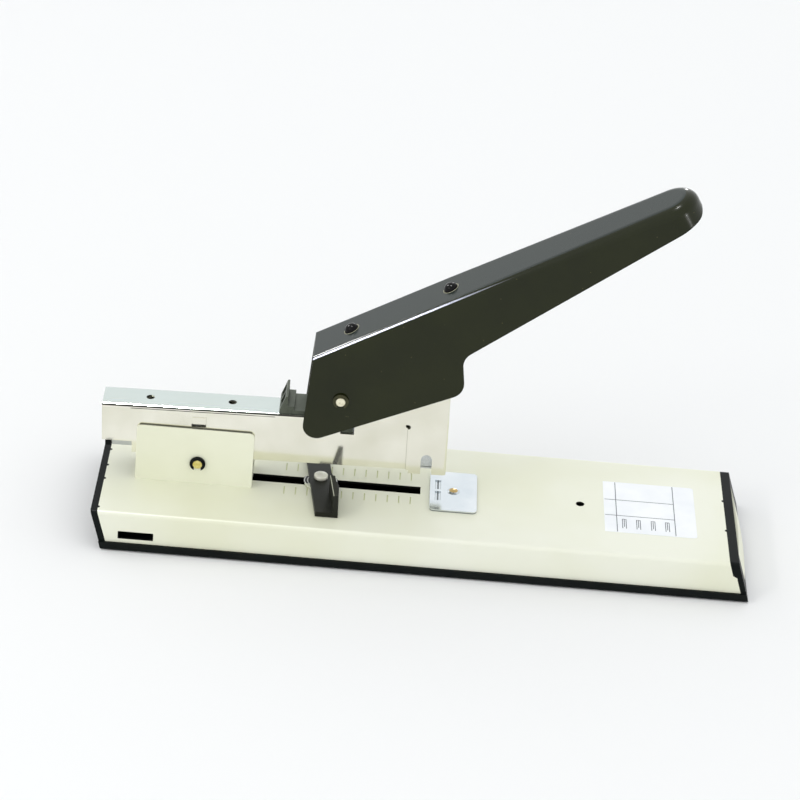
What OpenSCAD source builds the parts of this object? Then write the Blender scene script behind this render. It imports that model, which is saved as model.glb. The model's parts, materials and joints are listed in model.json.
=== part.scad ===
// Heavy-duty lever stapler with a long base, a tipping arm and a large press handle.
// X runs from the rear of the base to its front, Y across it, Z up.
// The base stands on four rubber feet, and the origin is below its middle.

/* [Base] */
// Length of the base along its bottom edge
base_l = 279; // [260:1:300]
// Width of the base over the bottom rim
base_w = 79; // [74:0.5:86]
// Distance by which each side of the cover leans in at the top
cover_lean = 0.35; // [0:0.05:1]
// Height from the bottom of the tray to the top of the cover
base_h = 17.7; // [16:0.1:21]
// Thickness of the cover's sheet
cover_t = 1.2; // [0.8:0.1:1.6]
// Distance by which the rear end leans out at the top
rear_rake = 4.8; // [3:0.1:6]
// Distance by which the front end leans in at the top
front_rake = 6; // [4:0.1:8]
// Height of the tray's rim
rim_h = 3.3; // [2.6:0.1:4]
// Thickness of the tray's rim
rim_t = 1.1; // [0.8:0.1:1.4]
// Thickness of the tray's floor
tray_t = 1.5; // [1:0.1:2]
// Width of the rear edging
rear_edge_w = 2.9; // [2:0.1:4]
// Width of the front edging on the top
front_edge_w = 4; // [3:0.1:5]
// Height by which the rubber feet stand proud
foot_proud = 0.8; // [0.5:0.1:1.5]
// Radius of a rubber foot
foot_r = 7; // [5:0.5:9]

/* [Slot and scale] */
// Rear end of the slot, from the rear of the base
slot_x = 60.8; // [60:0.2:64]
// Length of the slot
slot_l = 74.5; // [68:0.5:75]
// Width of the slot
slot_w = 6; // [5.8:0.1:7]
// Distance between the marks of the scale
tick_pitch = 5; // [4:0.5:5]
// Place of the first mark
tick_x = 76.05; // [74:0.05:78]
// Number of marks on each side
tick_count = 12; // [6:1:12]
// Length of a mark
tick_l = 5.8; // [4:0.1:6.5]
// Radius of the round hole in the top
hole_r = 1.9; // [1.5:0.1:2.5]
// Place of the round hole
hole_x = 205.4; // [195:0.2:210]

/* [Anvil] */
// Rear edge of the anvil plate
anvil_x = 139.4; // [138.5:0.1:140.4]
// Length of the anvil plate
anvil_l = 20.6; // [18:0.1:24]
// Width of the anvil plate
anvil_w = 31.4; // [28:0.2:36]
// Thickness of the anvil plate
anvil_t = 1; // [0.8:0.1:1.1]
// Place of the clinching grooves
groove_x = 142.9; // [142.5:0.1:143.2]
// Length of a groove
groove_l = 7.4; // [6:0.1:8]
// Width of a groove
groove_w = 2.8; // [2:0.1:3]

/* [Hinge bracket] */
// Place of the hinge pin
hinge_x = 38; // [36:0.2:40]
// Height of the hinge pin above the cover
hinge_up = 10.3; // [10:0.1:11.5]
// Radius of the hinge pin
hinge_pin_r = 2; // [1.8:0.1:2.3]
// Length of the bracket
bracket_l = 50.6; // [46:0.2:52]
// Distance from the bracket's rear edge to the hinge pin
bracket_back = 26.8; // [24:0.2:28]
// Height of the bracket's side plates
bracket_h = 27; // [24:0.2:30]
// Thickness of the bracket's plates
bracket_t = 1.2; // [1:0.1:1.5]

/* [Arm] */
// Upward tilt of the arm at rest, in degrees
arm_tilt = 1.35; // [1.2:0.05:2]
// Outer width of the arm's channel
arm_w = 15.2; // [15:0.1:16]
// Thickness of the arm's sheet
arm_t = 0.8; // [0.7:0.1:0.9]
// Length of the arm behind the hinge pin
arm_back = 41.7; // [40.5:0.2:44]
// Length of the arm in front of the hinge pin
arm_front = 107.2; // [107:0.1:107.4]
// Height of the arm's lower edge above the hinge pin
arm_low = 2.75; // [2.6:0.05:2.9]
// Height of the arm's channel
arm_tall = 23.55; // [23:0.05:24.5]

/* [Handle] */
// Distance of the handle's pivot in front of the hinge pin
pivot_x = 60.5; // [60:0.1:61]
// Height of the handle's pivot above the hinge pin
pivot_up = 37.4; // [37:0.1:38]
// Radius of the pivot pin
pivot_pin_r = 2; // [1.8:0.1:2.3]
// Angle of the handle above the arm at rest, in degrees
handle_tilt = 29; // [28.25:0.25:29.5]
// Length of the handle's top in front of the pivot
handle_l = 173.4; // [165:0.5:180]
// Outer width of the handle
handle_w = 24; // [23.6:0.2:26]
// Thickness of the handle's sheet
handle_t = 1.5; // [1.2:0.1:1.6]
// Height of the handle's top above the pivot
handle_up = 23.6; // [23:0.1:25]

/* [Staples and driver] */
// Width of a staple's crown
crown_w = 13; // [12.8:0.05:13.2]
// Length of a staple's leg
leg_l = 12.5; // [12:0.1:12.6]
// Thickness of a staple's wire
wire_t = 0.7; // [0.5:0.05:0.8]
// Number of staples in the strip
staple_count = 73; // [40:1:73]
// Height of the driver blade's edge above the crowns
blade_rest = 1.5; // [1.2:0.1:2]
// Thickness of the driver blade
blade_t = 1; // [0.8:0.1:1.1]

/* [Depth stop] */
// Place of the depth stop's screw at rest
stop_x = 91.5; // [89:0.5:94]
// Distance from the middle to each end of the cross bar
stop_reach = 28; // [24:0.5:32]
// Thickness of the cross bar
stop_t = 2.2; // [1.8:0.1:2.3]
// Height of the fin above the cross bar
fin_h = 9; // [6:0.5:10]

/* [Hidden] */
$fn = 48;

// Overrun of every cut, running clearance of a pin and gap between moving bodies
cut = 1;
run_gap = 0.05;
body_gap = 0.3;
seam_gap = 0.05;

// Base, from the driving sizes
base_mid_x = (base_l - rear_rake) / 2;
base_top = base_h;
rim_half = base_w / 2;
skirt_half = rim_half - rim_t - seam_gap;
top_half = skirt_half - cover_lean;
cover_bend_r = 1.8;
least_bend_r = 0.3;
cover_low = tray_t;
rear_angle = atan(rear_rake / base_h);
front_angle = atan(front_rake / base_h);
notch_high = 11.6;
notch_low = 9.8;
notch_in = 1.5;
foot_end = 18;
foot_side = 30;
foot_seat = 0.7;
screw_end = 34;
screw_boss_r = 3.5;
screw_r = 1.4;
screw_head_r = 2.6;
screw_head_t = 0.9;
side_slot_x = 7.3;
side_slot_l = 15.2;
side_slot_z = 5.15;
side_slot_h = 3.6;
side_slot_r = 0.7;
nub_r = 0.8;
plug_l = 5;
plug_t = 1.2;
tick_w = 0.5;
tick_deep = 0.25;
near_tick_y = 5.8;
far_tick_y = 7.6;
panel_w = 55;
panel_bow = 1;

// A point on the raked rear or front face of the base
function rear_x(z) = -rear_rake * z / base_h;
function front_x(z) = base_l - front_rake * z / base_h;

// Points of an arc round a centre, from one angle to another
function arc(cx, cy, r, from, to, steps = 8) =
    [for (i = [0:steps]) let (a = from + (to - from) * i / steps) [cx + r * cos(a), cy + r * sin(a)]];

// Outline of a channel with its web on top and two bends, drawn across and upwards
function channel_outline(half, low, top, r) = concat(
    [[-half, low]], arc(-half + r, top - r, r, 180, 90), arc(half - r, top - r, r, 90, 0), [[half, low]]);

// Extrudes an outline drawn in X and Z along Y, from y0 to y1
module across(y0, y1) {
    translate([0, y1, 0]) rotate([90, 0, 0]) linear_extrude(y1 - y0) children();
}

// Extrudes an outline drawn in Y and Z along X, from x0 to x1
module along(x0, x1) {
    translate([x0, 0, 0]) rotate([90, 0, 90]) linear_extrude(x1 - x0) children();
}

// A round bar across the part, centred on a point in X and Z
module cross_bar(x, z, r, y0, y1) {
    translate([x, y1, z]) rotate([90, 0, 0]) cylinder(r = r, h = y1 - y0);
}

// The same shape on the near and the far side
module both_sides() {
    children();
    mirror([0, 1, 0]) children();
}

// Places the part's own measuring frame, which starts at the rear bottom edge of the base
module placed() {
    translate([-base_mid_x, 0, foot_proud]) children();
}

// Places the arm's frame: its origin is on the hinge pin, and X runs along the arm
hinge_z = base_top + hinge_up;
module on_arm() {
    placed() translate([hinge_x, 0, hinge_z]) rotate([0, -arm_tilt, 0]) children();
}

// Places the handle's frame: its origin is on the pivot pin, and X runs along the handle
module on_handle() {
    on_arm() translate([pivot_x, 0, pivot_up]) rotate([0, -handle_tilt, 0]) children();
}

// A round slot through a plate, lying along X
module slot_cut(x0, x1, half) {
    translate([x0 + half, 0]) circle(half);
    translate([x1 - half, 0]) circle(half);
    translate([x0 + half, -half]) square([x1 - x0 - 2 * half, 2 * half]);
}

// Springs: one unbroken tube round an axis
// Height along the spring at turn t, with closed ends of three quarters of a turn
spring_sides = 6;
spring_steps = 8;
closed_turns = 0.75;
function climb(t, turns, wire, span) =
    let (dead = closed_turns, pitch = (span - wire - 2 * dead * wire * coil_pack_share)
        / (turns - 2 * dead))
    t < dead ? t * wire * coil_pack_share
    : t > turns - dead ? span - wire - (turns - t) * wire * coil_pack_share
    : dead * wire * coil_pack_share + (t - dead) * pitch;
coil_pack_share = 1.6;
function coil_centres(turns, mean_r, wire, span) =
    [for (i = [0:turns * spring_steps]) let (t = i / spring_steps, a = 360 * t)
        [mean_r * cos(a), mean_r * sin(a), wire / 2 + climb(t, turns, wire, span)]];
function coil_faces(rings) = concat(
    [[for (k = [0:spring_sides - 1]) k]],
    [for (i = [0:rings - 2], k = [0:spring_sides - 1]) let (a = i * spring_sides + k,
        b = i * spring_sides + (k + 1) % spring_sides) [a, a + spring_sides, b]],
    [for (i = [0:rings - 2], k = [0:spring_sides - 1]) let (a = i * spring_sides + k,
        b = i * spring_sides + (k + 1) % spring_sides) [b, a + spring_sides, b + spring_sides]],
    [[for (k = [spring_sides - 1:-1:0]) (rings - 1) * spring_sides + k]]);
// Least distance between the wire's surfaces on neighbouring turns
function coil_gap(turns, mean_r, wire, span) =
    let (c = coil_centres(turns, mean_r, wire, span))
    min([for (i = [0:len(c) - spring_steps / 2 - 1], j = [i + spring_steps / 2:min(len(c) - 1,
        i + 2 * spring_steps)]) norm(c[i] - c[j])]) - wire;
module coil(turns, mean_r, wire, span) {
    centres = coil_centres(turns, mean_r, wire, span);
    points = [for (i = [0:len(centres) - 1], k = [0:spring_sides - 1])
        let (c = centres[i], a = 360 * i / spring_steps, b = 360 * k / spring_sides,
            out = wire / 2 * cos(b))
        [c[0] + out * cos(a), c[1] + out * sin(a), c[2] + wire / 2 * sin(b)]];
    polyhedron(points, coil_faces(len(centres)), convexity = 10);
}

// Base

// Outline of the cover's outside, inset by a wall
module cover_section(inset, low) {
    r = max(cover_bend_r - inset, least_bend_r);
    polygon(concat([[-skirt_half + inset, low]],
        arc(-top_half + inset + r, base_top - inset - r, r, 180, 90),
        arc(top_half - inset - r, base_top - inset - r, r, 90, 0),
        [[skirt_half - inset, low]]));
}

// Points down the front edge of the cover, with the step in its side
function front_edge(low) = concat(
    [[front_x(base_top) - front_edge_w, base_top], [front_x(notch_high) - front_edge_w, notch_high]],
    arc(front_x(notch_low) - front_edge_w, notch_low, notch_in, 40, 0),
    [[front_x(low) - front_edge_w + notch_in, low]]);

// Side outline of the cover between the two edgings
module cover_side(low) {
    polygon(concat([[rear_x(low) + rear_edge_w, low], [rear_x(base_top) + rear_edge_w, base_top]],
        front_edge(low)));
}

// Side outline of the whole base
module base_side(low, high) {
    polygon([[rear_x(low), low], [rear_x(high), high], [front_x(high), high], [front_x(low), low]]);
}

// Side outlines of bands that follow the raked rear and front faces, at two depths behind them
module rear_band(near, far, low) {
    polygon([[rear_x(low) + near, low], [rear_x(base_top) + near, base_top],
        [rear_x(base_top) + far, base_top], [rear_x(low) + far, low]]);
}
module front_band(near, far, low) {
    polygon([[front_x(low) - near, low], [front_x(base_top) - near, base_top],
        [front_x(base_top) - far, base_top], [front_x(low) - far, low]]);
}

module scale_marks() {
    for (i = [0:tick_count - 1]) {
        mark_x = tick_x + i * tick_pitch - tick_w / 2;
        translate([mark_x, -near_tick_y - tick_l, base_top - tick_deep]) cube([tick_w, tick_l, cut]);
        translate([mark_x, far_tick_y, base_top - tick_deep]) cube([tick_w, tick_l, cut]);
    }
}

// Round nubs of the edgings that reach into the cover's ends
rear_nub_sides = [-34, -11, 0, 13, 34];
front_nub_sides = [-12, 12];
module rear_nubs(r) {
    for (y = rear_nub_sides)
        translate([rear_x(base_top) + rear_edge_w, y, base_top - cover_t]) cylinder(r = r, h = cover_t);
}
module front_nubs(r) {
    for (y = front_nub_sides)
        translate([front_x(base_top) - front_edge_w, y, base_top - cover_t]) cylinder(r = r, h = cover_t);
}

module base_cover() {
    color("#E8EAD4") placed() difference() {
        intersection() {
            along(-rear_rake - cut, base_l + cut) cover_section(0, cover_low);
            across(-rim_half, rim_half) cover_side(cover_low);
        }
        along(-rear_rake - cut, base_l + cut)
            cover_section(cover_t, cover_low - cut);
        translate([0, 0, base_top - cover_t - cut])
            linear_extrude(cover_t + 2 * cut) translate([slot_x, -slot_w / 2]) square([slot_l, slot_w]);
        translate([hole_x, 0, base_top - cover_t - cut]) cylinder(r = hole_r, h = cover_t + 2 * cut);
        across(-rim_half - cut, rim_half + cut) translate([0, side_slot_z + side_slot_h / 2])
            rounded(side_slot_x, side_slot_x + side_slot_l, side_slot_h / 2, side_slot_r);
        translate([anvil_x + anvil_l / 2, 0, base_top - cover_t - cut])
            cylinder(r = rivet_r + run_gap, h = cover_t + 2 * cut);
        scale_marks();
        rear_nubs(nub_r);
        front_nubs(nub_r);
    }
}

// Corner places of the feet and of the screws, as distances from the ends and the middle
module at_corners(end, side) {
    for (x = [end, base_l - end], y = [-side, side]) translate([x, y, 0]) children();
}

module base_tray() {
    color("#22241C") placed() difference() {
        union() {
            difference() {
                across(-rim_half, rim_half) base_side(0, rim_h);
                across(rim_t - rim_half, rim_half - rim_t) polygon([
                    [rear_x(tray_t) + rear_edge_w, tray_t],
                    [rear_x(base_top) + rear_edge_w, base_top],
                    [front_x(base_top) - front_edge_w + notch_in, base_top],
                    [front_x(tray_t) - front_edge_w + notch_in, tray_t]]);
            }
            at_corners(screw_end, foot_side) cylinder(r = screw_boss_r, h = base_top - cover_t);
        }
        at_corners(foot_end, foot_side) translate([0, 0, -cut]) cylinder(r = foot_r, h = foot_seat + cut);
        at_corners(screw_end, foot_side) {
            translate([0, 0, -cut]) cylinder(r = screw_r + run_gap, h = screw_l + 2 * cut);
            translate([0, 0, -cut]) cylinder(r = screw_head_r + run_gap, h = screw_head_t + cut);
        }
    }
}
screw_l = 10;

module rubber_feet() {
    color("#2A2A28") placed() at_corners(foot_end, foot_side)
        translate([0, 0, -foot_proud]) cylinder(r = foot_r, h = foot_proud + foot_seat);
}

module tray_screws() {
    color("#B8BABC") placed() at_corners(screw_end, foot_side) {
        cylinder(r = screw_head_r, h = screw_head_t);
        cylinder(r = screw_r, h = screw_l);
    }
}

// An end cap is an edging with its end wall and a hollow plug that fits inside the cover
module rear_end_cap() {
    color("#22241C") placed() difference() {
        union() {
            intersection() {
                along(-base_l, base_l) cover_section(0, rim_h);
                across(-rim_half, rim_half) rear_band(0, rear_edge_w, rim_h);
            }
            intersection() {
                along(-base_l, base_l) cover_section(cover_t + seam_gap, rim_h);
                across(-rim_half, rim_half) rear_band(plug_t, rear_edge_w + plug_l, rim_h);
            }
            intersection() {
                rear_nubs(nub_r);
                along(-base_l, base_l) cover_section(0, rim_h);
            }
        }
        intersection() {
            along(-base_l, base_l) cover_section(cover_t + seam_gap + plug_t, rim_h - cut);
            across(-rim_half, rim_half) rear_band(plug_t, rear_edge_w + plug_l + cut, rim_h - cut);
        }
    }
}

module front_end_cap() {
    color("#22241C") placed() difference() {
        union() {
            intersection() {
                along(0, base_l) cover_section(0, rim_h);
                across(-rim_half, rim_half) polygon(concat(front_edge(rim_h),
                    [[front_x(rim_h), rim_h], [front_x(base_top), base_top]]));
            }
            intersection() {
                along(0, base_l) cover_section(cover_t + seam_gap, rim_h);
                across(-rim_half, rim_half) front_band(plug_t, front_edge_w + plug_l, rim_h);
            }
            intersection() {
                front_nubs(nub_r);
                along(0, base_l) cover_section(0, rim_h);
            }
        }
        intersection() {
            along(0, base_l) cover_section(cover_t + seam_gap + plug_t, rim_h - cut);
            across(-rim_half, rim_half) front_band(plug_t, front_edge_w + plug_l + cut, rim_h - cut);
        }
    }
}

// Thin panel on the raked front face, bowed outwards
panel_low = rim_h;
panel_r = (pow(panel_w / 2, 2) + pow(panel_bow, 2)) / (2 * panel_bow);
panel_sweep = asin(panel_w / 2 / panel_r);
module front_panel() {
    color("#E8EAD4") placed() translate([base_l, 0, 0]) rotate([0, -front_angle, 0])
        translate([0, 0, panel_low / cos(front_angle)])
        linear_extrude((base_top - panel_low - cover_bend_r) / cos(front_angle))
        polygon(arc(panel_bow - panel_r, 0, panel_r, -panel_sweep, panel_sweep, 12));
}

// Anvil

rivet_r = 2;
rivet_head_r = 2.9;
rivet_head_t = 0.9;
groove_deep = 0.6;
groove_gap = 1.6;
groove_r = (pow(groove_w / 2, 2) + pow(groove_deep, 2)) / (2 * groove_deep);
anvil_corner_r = 2;
module anvil_plate() {
    color("#DCE3EA") placed() difference() {
        translate([anvil_x, 0, base_top]) linear_extrude(anvil_t)
            rounded(0, anvil_l, anvil_w / 2, anvil_corner_r);
        both_sides() cross_bar(groove_x, base_top + anvil_t - groove_deep + groove_r, groove_r,
            groove_gap / 2, groove_gap / 2 + groove_l);
        translate([anvil_x + anvil_l / 2, 0, base_top - cut])
            cylinder(r = rivet_r + run_gap, h = anvil_t + 2 * cut);
    }
}

// A plan outline with round corners, from x0 to x1 and as far each way across
module rounded(x0, x1, half, r) {
    polygon(concat(arc(x1 - r, half - r, r, 0, 90), arc(x0 + r, half - r, r, 90, 180),
        arc(x0 + r, r - half, r, 180, 270), arc(x1 - r, r - half, r, 270, 360)));
}

// A dome of a given radius and height, standing on its rim
module dome(r, h) {
    ball_r = (r * r + h * h) / (2 * h);
    rotate_extrude() polygon(concat([[0, 0]], arc(0, h - ball_r, ball_r, asin((ball_r - h) / ball_r), 90)));
}

module anvil_rivet() {
    color("#D9B87A") placed() translate([anvil_x + anvil_l / 2, 0, base_top + anvil_t]) {
        dome(rivet_head_r, rivet_head_t);
        translate([0, 0, -anvil_t - cover_t]) cylinder(r = rivet_r, h = anvil_t + cover_t);
        translate([0, 0, -anvil_t - cover_t - rivet_head_t]) cylinder(r = rivet_head_r, h = rivet_head_t);
    }
}

// Hinge bracket, with its pin and the spring that lifts the arm

arm_half = arm_w / 2;
arm_in = arm_half - arm_t;
bracket_in = arm_half + body_gap;
bracket_out = bracket_in + bracket_t;
bracket_x = hinge_x - bracket_back;
bracket_r = 2.2;
clip_t = 0.7;
clip_wall = 1.4;
neck_in = 0.5;
pin_tip = 0.4;
pin_head_t = 1.2;
pin_head_out = 1.5;
lift_spring_x = 12;
lift_spring_r = 4;
lift_wire = 1;
lift_turns = 5;

module bracket_plate(y0, y1) {
    across(y0, y1) polygon(concat([[bracket_x, base_top]],
        arc(bracket_x + bracket_r, base_top + bracket_h - bracket_r, bracket_r, 180, 90),
        arc(bracket_x + bracket_l - bracket_r, base_top + bracket_h - bracket_r, bracket_r, 90, 0),
        [[bracket_x + bracket_l, base_top]]));
}

module hinge_bracket() {
    color("#E8EAD4") placed() difference() {
        union() {
            bracket_plate(-bracket_out, -bracket_in);
            bracket_plate(bracket_in, bracket_out);
            translate([bracket_x, -bracket_out, base_top]) cube([bracket_l, 2 * bracket_out, bracket_t]);
        }
        cross_bar(hinge_x, hinge_z, hinge_pin_r + run_gap, -bracket_out - cut, bracket_out + cut);
    }
}

// A pin across the part: head on the far side, groove for a clip outside the near face
module clip_pin(r, face) {
    cross_bar(0, 0, r, -face - body_gap, face);
    cross_bar(0, 0, r - neck_in, -face - body_gap - clip_t, face);
    cross_bar(0, 0, r, -face - body_gap - clip_t - pin_tip, -face - body_gap - clip_t);
    cross_bar(0, 0, r + pin_head_out, face, face + pin_head_t);
}

// A retaining ring for such a pin, open downwards
module pin_clip(r, face) {
    across(-face - body_gap - clip_t, -face - body_gap) difference() {
        circle(r + clip_wall);
        circle(r - neck_in + run_gap);
        translate([-r + neck_in, -r - clip_wall - cut]) square([2 * (r - neck_in), r + clip_wall + cut]);
    }
}

module hinge_pin() {
    color("#E8DC9A") placed() translate([hinge_x, 0, hinge_z]) clip_pin(hinge_pin_r, bracket_out);
}

module hinge_clip() {
    color("#1E1F20") placed() translate([hinge_x, 0, hinge_z]) pin_clip(hinge_pin_r, bracket_out);
}

module arm_return_spring() {
    color("#C6C9CC") placed() translate([hinge_x + lift_spring_x, 0, base_top + bracket_t])
        coil(lift_turns, lift_spring_r, lift_wire, lift_span);
}

// Depth stop, which slides along the slot of the base

stop_low = base_top + body_gap;
stop_top = stop_low + stop_t;
stop_edge_shares = [[-0.036, -1], [0.314, -1], [0.295, -0.2], [0.162, 0.152], [0.124, 0.442],
    [0.036, 1], [-0.314, 1]];
fin_edge_shares = [[0.228, -1], [0.306, -1], [0.224, -0.43], [0.146, -0.43]];
washer_r = 7.5;
washer_t = 0.5;
stop_screw_r = slot_w / 2 - body_gap;
stop_head_r = 3;
stop_head_t = 1;
nut_half = 6;
nut_t = 2;

module depth_stop() {
    color("#2E3030") placed() difference() {
        union() {
            translate([stop_x, 0, stop_low]) linear_extrude(stop_t)
                polygon(stop_edge_shares * stop_reach);
            translate([stop_x, 0, stop_low]) linear_extrude(stop_t + fin_h)
                polygon(fin_edge_shares * stop_reach);
        }
        translate([stop_x, 0, stop_low - cut]) cylinder(r = stop_screw_r + run_gap, h = stop_t + 2 * cut);
        translate([stop_x, 0, stop_low - cut]) cylinder(r = washer_r + run_gap, h = washer_t + cut);
    }
}

module depth_stop_washer() {
    color("#D5D8DC") placed() translate([stop_x, 0, stop_low]) difference() {
        cylinder(r = washer_r, h = washer_t);
        translate([0, 0, -cut]) cylinder(r = stop_screw_r + run_gap, h = washer_t + 2 * cut);
    }
}

nut_top = base_top - cover_t - body_gap;
module depth_stop_screw() {
    color("#E6E3D6") placed() translate([stop_x, 0, 0]) {
        translate([0, 0, nut_top - nut_t])
            cylinder(r = stop_screw_r, h = stop_top + run_gap - nut_top + nut_t);
        translate([0, 0, stop_top + run_gap]) dome(stop_head_r, stop_head_t);
    }
}

module depth_stop_nut() {
    color("#8C9094") placed() translate([stop_x, 0, nut_top - nut_t]) difference() {
        translate([-nut_half, -nut_half, 0]) cube([2 * nut_half, 2 * nut_half, nut_t]);
        translate([0, 0, -cut]) cylinder(r = stop_screw_r + run_gap, h = nut_t + 2 * cut);
    }
}

// Arm: a channel turned upside down, drawn in the arm's frame

arm_top = arm_low + arm_tall;
arm_bend_r = 1.6;
rear_up = 5.35;
rear_low = arm_low + rear_up;
rear_step_l = 12.9;
leg_drop = 1.55;
leg_low = arm_low - leg_drop;
leg_back = 16.3;
key_back = 11;
key_front = 6.2;
key_up = 5.75;
key_r = 2;
ear_r = 6.5;
top_hole_r = 1.8;
rear_hole_back = 20.1;
front_hole_x = 13.8;
tab_half = 3.1;
tab_up = 14.5;
tab_slot_h = 1.4;
tab_h = 4.9;
line_w = 0.3;
line_deep = 0.2;
lip_down = 1.7;
lip_back = 12.3;
lip_l = 62;
window_back = 46.3;
window_l = 5.9;
window_up = 15.55;
window_h = 5.7;
latch_travel = 5;
latch_leg_l = 4.7;
latch_leg_t = 0.6;
well_back = 18.7;
well_half = 6.1;
seat_t = 0.8;
seat_up = 1.3;
seat_l = 12.4;
plate_t = 0.8;
blade_gap = 0.4;

// Places along the arm that the staples and the driver share
plate_x = arm_front - plate_t;
blade_x = plate_x - blade_gap - blade_t;
strip_front = blade_x - blade_gap;
strip_back = strip_front - staple_count * wire_t;
rail_lift = 0.45;
rail_low = arm_low + rail_lift;
rail_t = 0.8;
staple_gap = 0.2;
staple_foot = rail_low + rail_t + staple_gap;
crown_top = staple_foot + leg_l;
core_half = crown_w / 2 - wire_t - staple_gap;
crown_gap = 0.15;
core_top = crown_top - wire_t - crown_gap;
seat_low = crown_top + seat_up;
seat_top = seat_low + seat_t;
rail_inset = 4.2;
rail_back = arm_back - rail_inset;
window_x = arm_front - window_back;
latch_leg_inset = 0.6;
latch_leg_x = window_x + latch_leg_inset;

module arm_side(front) {
    difference() {
        union() {
            polygon([[-arm_back, rear_low], [-arm_back, arm_top], [front, arm_top], [front, leg_low],
                [arm_front - leg_back, leg_low], [arm_front - leg_back, arm_low],
                [rear_step_l - arm_back, arm_low], [rear_step_l - arm_back, rear_low]]);
            circle(ear_r);
            translate([-ear_r, 0]) square([2 * ear_r, 2 * arm_low]);
        }
        nose_cuts();
    }
}

// Keyhole between the two legs of the nose, and the relief hole where the housing's edge turns
module nose_cuts() {
    translate([arm_front - cheek_back, cheek_low - relief_r]) circle(relief_r);
    translate([arm_front - key_back, leg_low - cut]) square([key_back - key_front, arm_low + cut - leg_low]);
    translate([arm_front - key_back, arm_low - cut])
        square([key_back - key_front, key_up + cut]);
    translate([arm_front - (key_back + key_front) / 2, arm_low + key_up]) circle((key_back - key_front) / 2);
}

// Fine grooves in one side: the joint below the top sheet and the outline of the lanced tab
module arm_lines() {
    side_y = arm_half - line_deep;
    translate([lip_back - arm_back, side_y, arm_top - lip_down]) cube([lip_l, line_deep + cut, line_w]);
    for (x = [-tab_half, tab_half - line_w])
        translate([x, side_y, arm_low + tab_up]) cube([line_w, line_deep + cut, tab_h]);
    translate([-tab_half, side_y, arm_low + tab_up + tab_h - line_w])
        cube([2 * tab_half, line_deep + cut, line_w]);
}

module arm_frame() {
    color("#DDE4E6") on_arm() difference() {
        union() {
            difference() {
                intersection() {
                    along(-arm_back, plate_x)
                        polygon(channel_outline(arm_half, -ear_r - cut, arm_top, arm_bend_r));
                    across(-arm_half, arm_half) arm_side(plate_x);
                }
                along(-arm_back - cut, plate_x + cut) polygon(
                    channel_outline(arm_in, -ear_r - 2 * cut, arm_top - arm_t, arm_bend_r - arm_t));
            }
            translate([arm_front - well_back, -arm_in - arm_t / 2, seat_low])
                cube([seat_l, 2 * arm_in + arm_t, seat_t]);
        }
        cross_bar(0, 0, hinge_pin_r + run_gap, -arm_half - cut, arm_half + cut);
        for (x = [rear_hole_back - arm_back, front_hole_x])
            translate([x, 0, arm_top - arm_t - cut]) cylinder(r = top_hole_r, h = arm_t + 2 * cut);
        translate([-tab_half, -arm_half - cut, arm_low + tab_up])
            cube([2 * tab_half, arm_w + 2 * cut, tab_slot_h]);
        translate([window_x, -arm_half - cut, arm_low + window_up])
            cube([window_l, arm_w + 2 * cut, window_h]);
        both_sides() arm_lines();
        both_sides() translate([latch_leg_x - body_gap, arm_in - body_gap - latch_leg_t - body_gap,
            arm_top - arm_t - cut]) cube([latch_leg_l + latch_travel + 2 * body_gap,
            latch_leg_t + 2 * body_gap, arm_t + 2 * cut]);
        translate([arm_front - well_back, -well_half, arm_top - arm_t - cut])
            cube([well_back + cut, 2 * well_half, arm_t + 2 * cut]);
        translate([blade_x - blade_gap, -arm_in, arm_top - arm_t - cut])
            cube([arm_front - blade_x + blade_gap, 2 * arm_in, arm_t + 2 * cut]);
    }
}

// Nose: outer housing with the ears of the handle's pivot, and the plate that closes it

cheek_t = 0.9;
cheek_out = arm_half + cheek_t;
cheek_bend_r = 1.3;
cheek_back = 17.3;
cheek_lap = 0.9;
cheek_low = arm_top - cheek_lap;
cheek_rear = 10.5;
cheek_rear_x = pivot_x - cheek_rear;
cheek_ear_r = 6.5;
cheek_front_up = 41.5;
nose_web_low = 19.7;
nose_web_top = 28;
relief_r = 1.1;

module cheek_side() {
    difference() {
        union() {
            polygon(concat([[arm_front - cheek_back, arm_low], [arm_front - cheek_back, cheek_low],
                [cheek_rear_x, cheek_low]],
                arc(pivot_x, pivot_up, cheek_ear_r, 160, 88),
                [[arm_front, cheek_front_up], [arm_front, leg_low],
                [arm_front - leg_back, leg_low], [arm_front - leg_back, arm_low]]));
        }
        nose_cuts();
    }
}

module nose_housing() {
    color("#DADCD4") on_arm() difference() {
        intersection() {
            linear_extrude(pivot_up + cheek_ear_r + cut) difference() {
                rounded(0, arm_front, cheek_out, cheek_bend_r);
                rounded(-cheek_out, plate_x + seam_gap, arm_half, seam_gap);
            }
            across(-cheek_out, cheek_out) cheek_side();
        }
        translate([arm_front - cheek_t - cut, -arm_half, 0])
            cube([cheek_t + 2 * cut, arm_w, nose_web_low]);
        translate([arm_front - cheek_t - cut, -arm_half, nose_web_top])
            cube([cheek_t + 2 * cut, arm_w, pivot_up]);
        cross_bar(pivot_x, pivot_up, pivot_pin_r + run_gap, -cheek_out - cut, cheek_out + cut);
    }
}

module nose_plate() {
    color("#C9CDD0") on_arm() translate([plate_x, -arm_half + seam_gap, leg_low])
        cube([plate_t, arm_w - 2 * seam_gap, nose_web_low - leg_low - seam_gap]);
}

// Staples and the rail that they ride on

rail_half = arm_in - seam_gap;
lift_span = hinge_up - bracket_t + rail_low - body_gap;
web_back = 27;
rail_rear_low = 4.8;
core_slot_half = 1.5;

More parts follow.
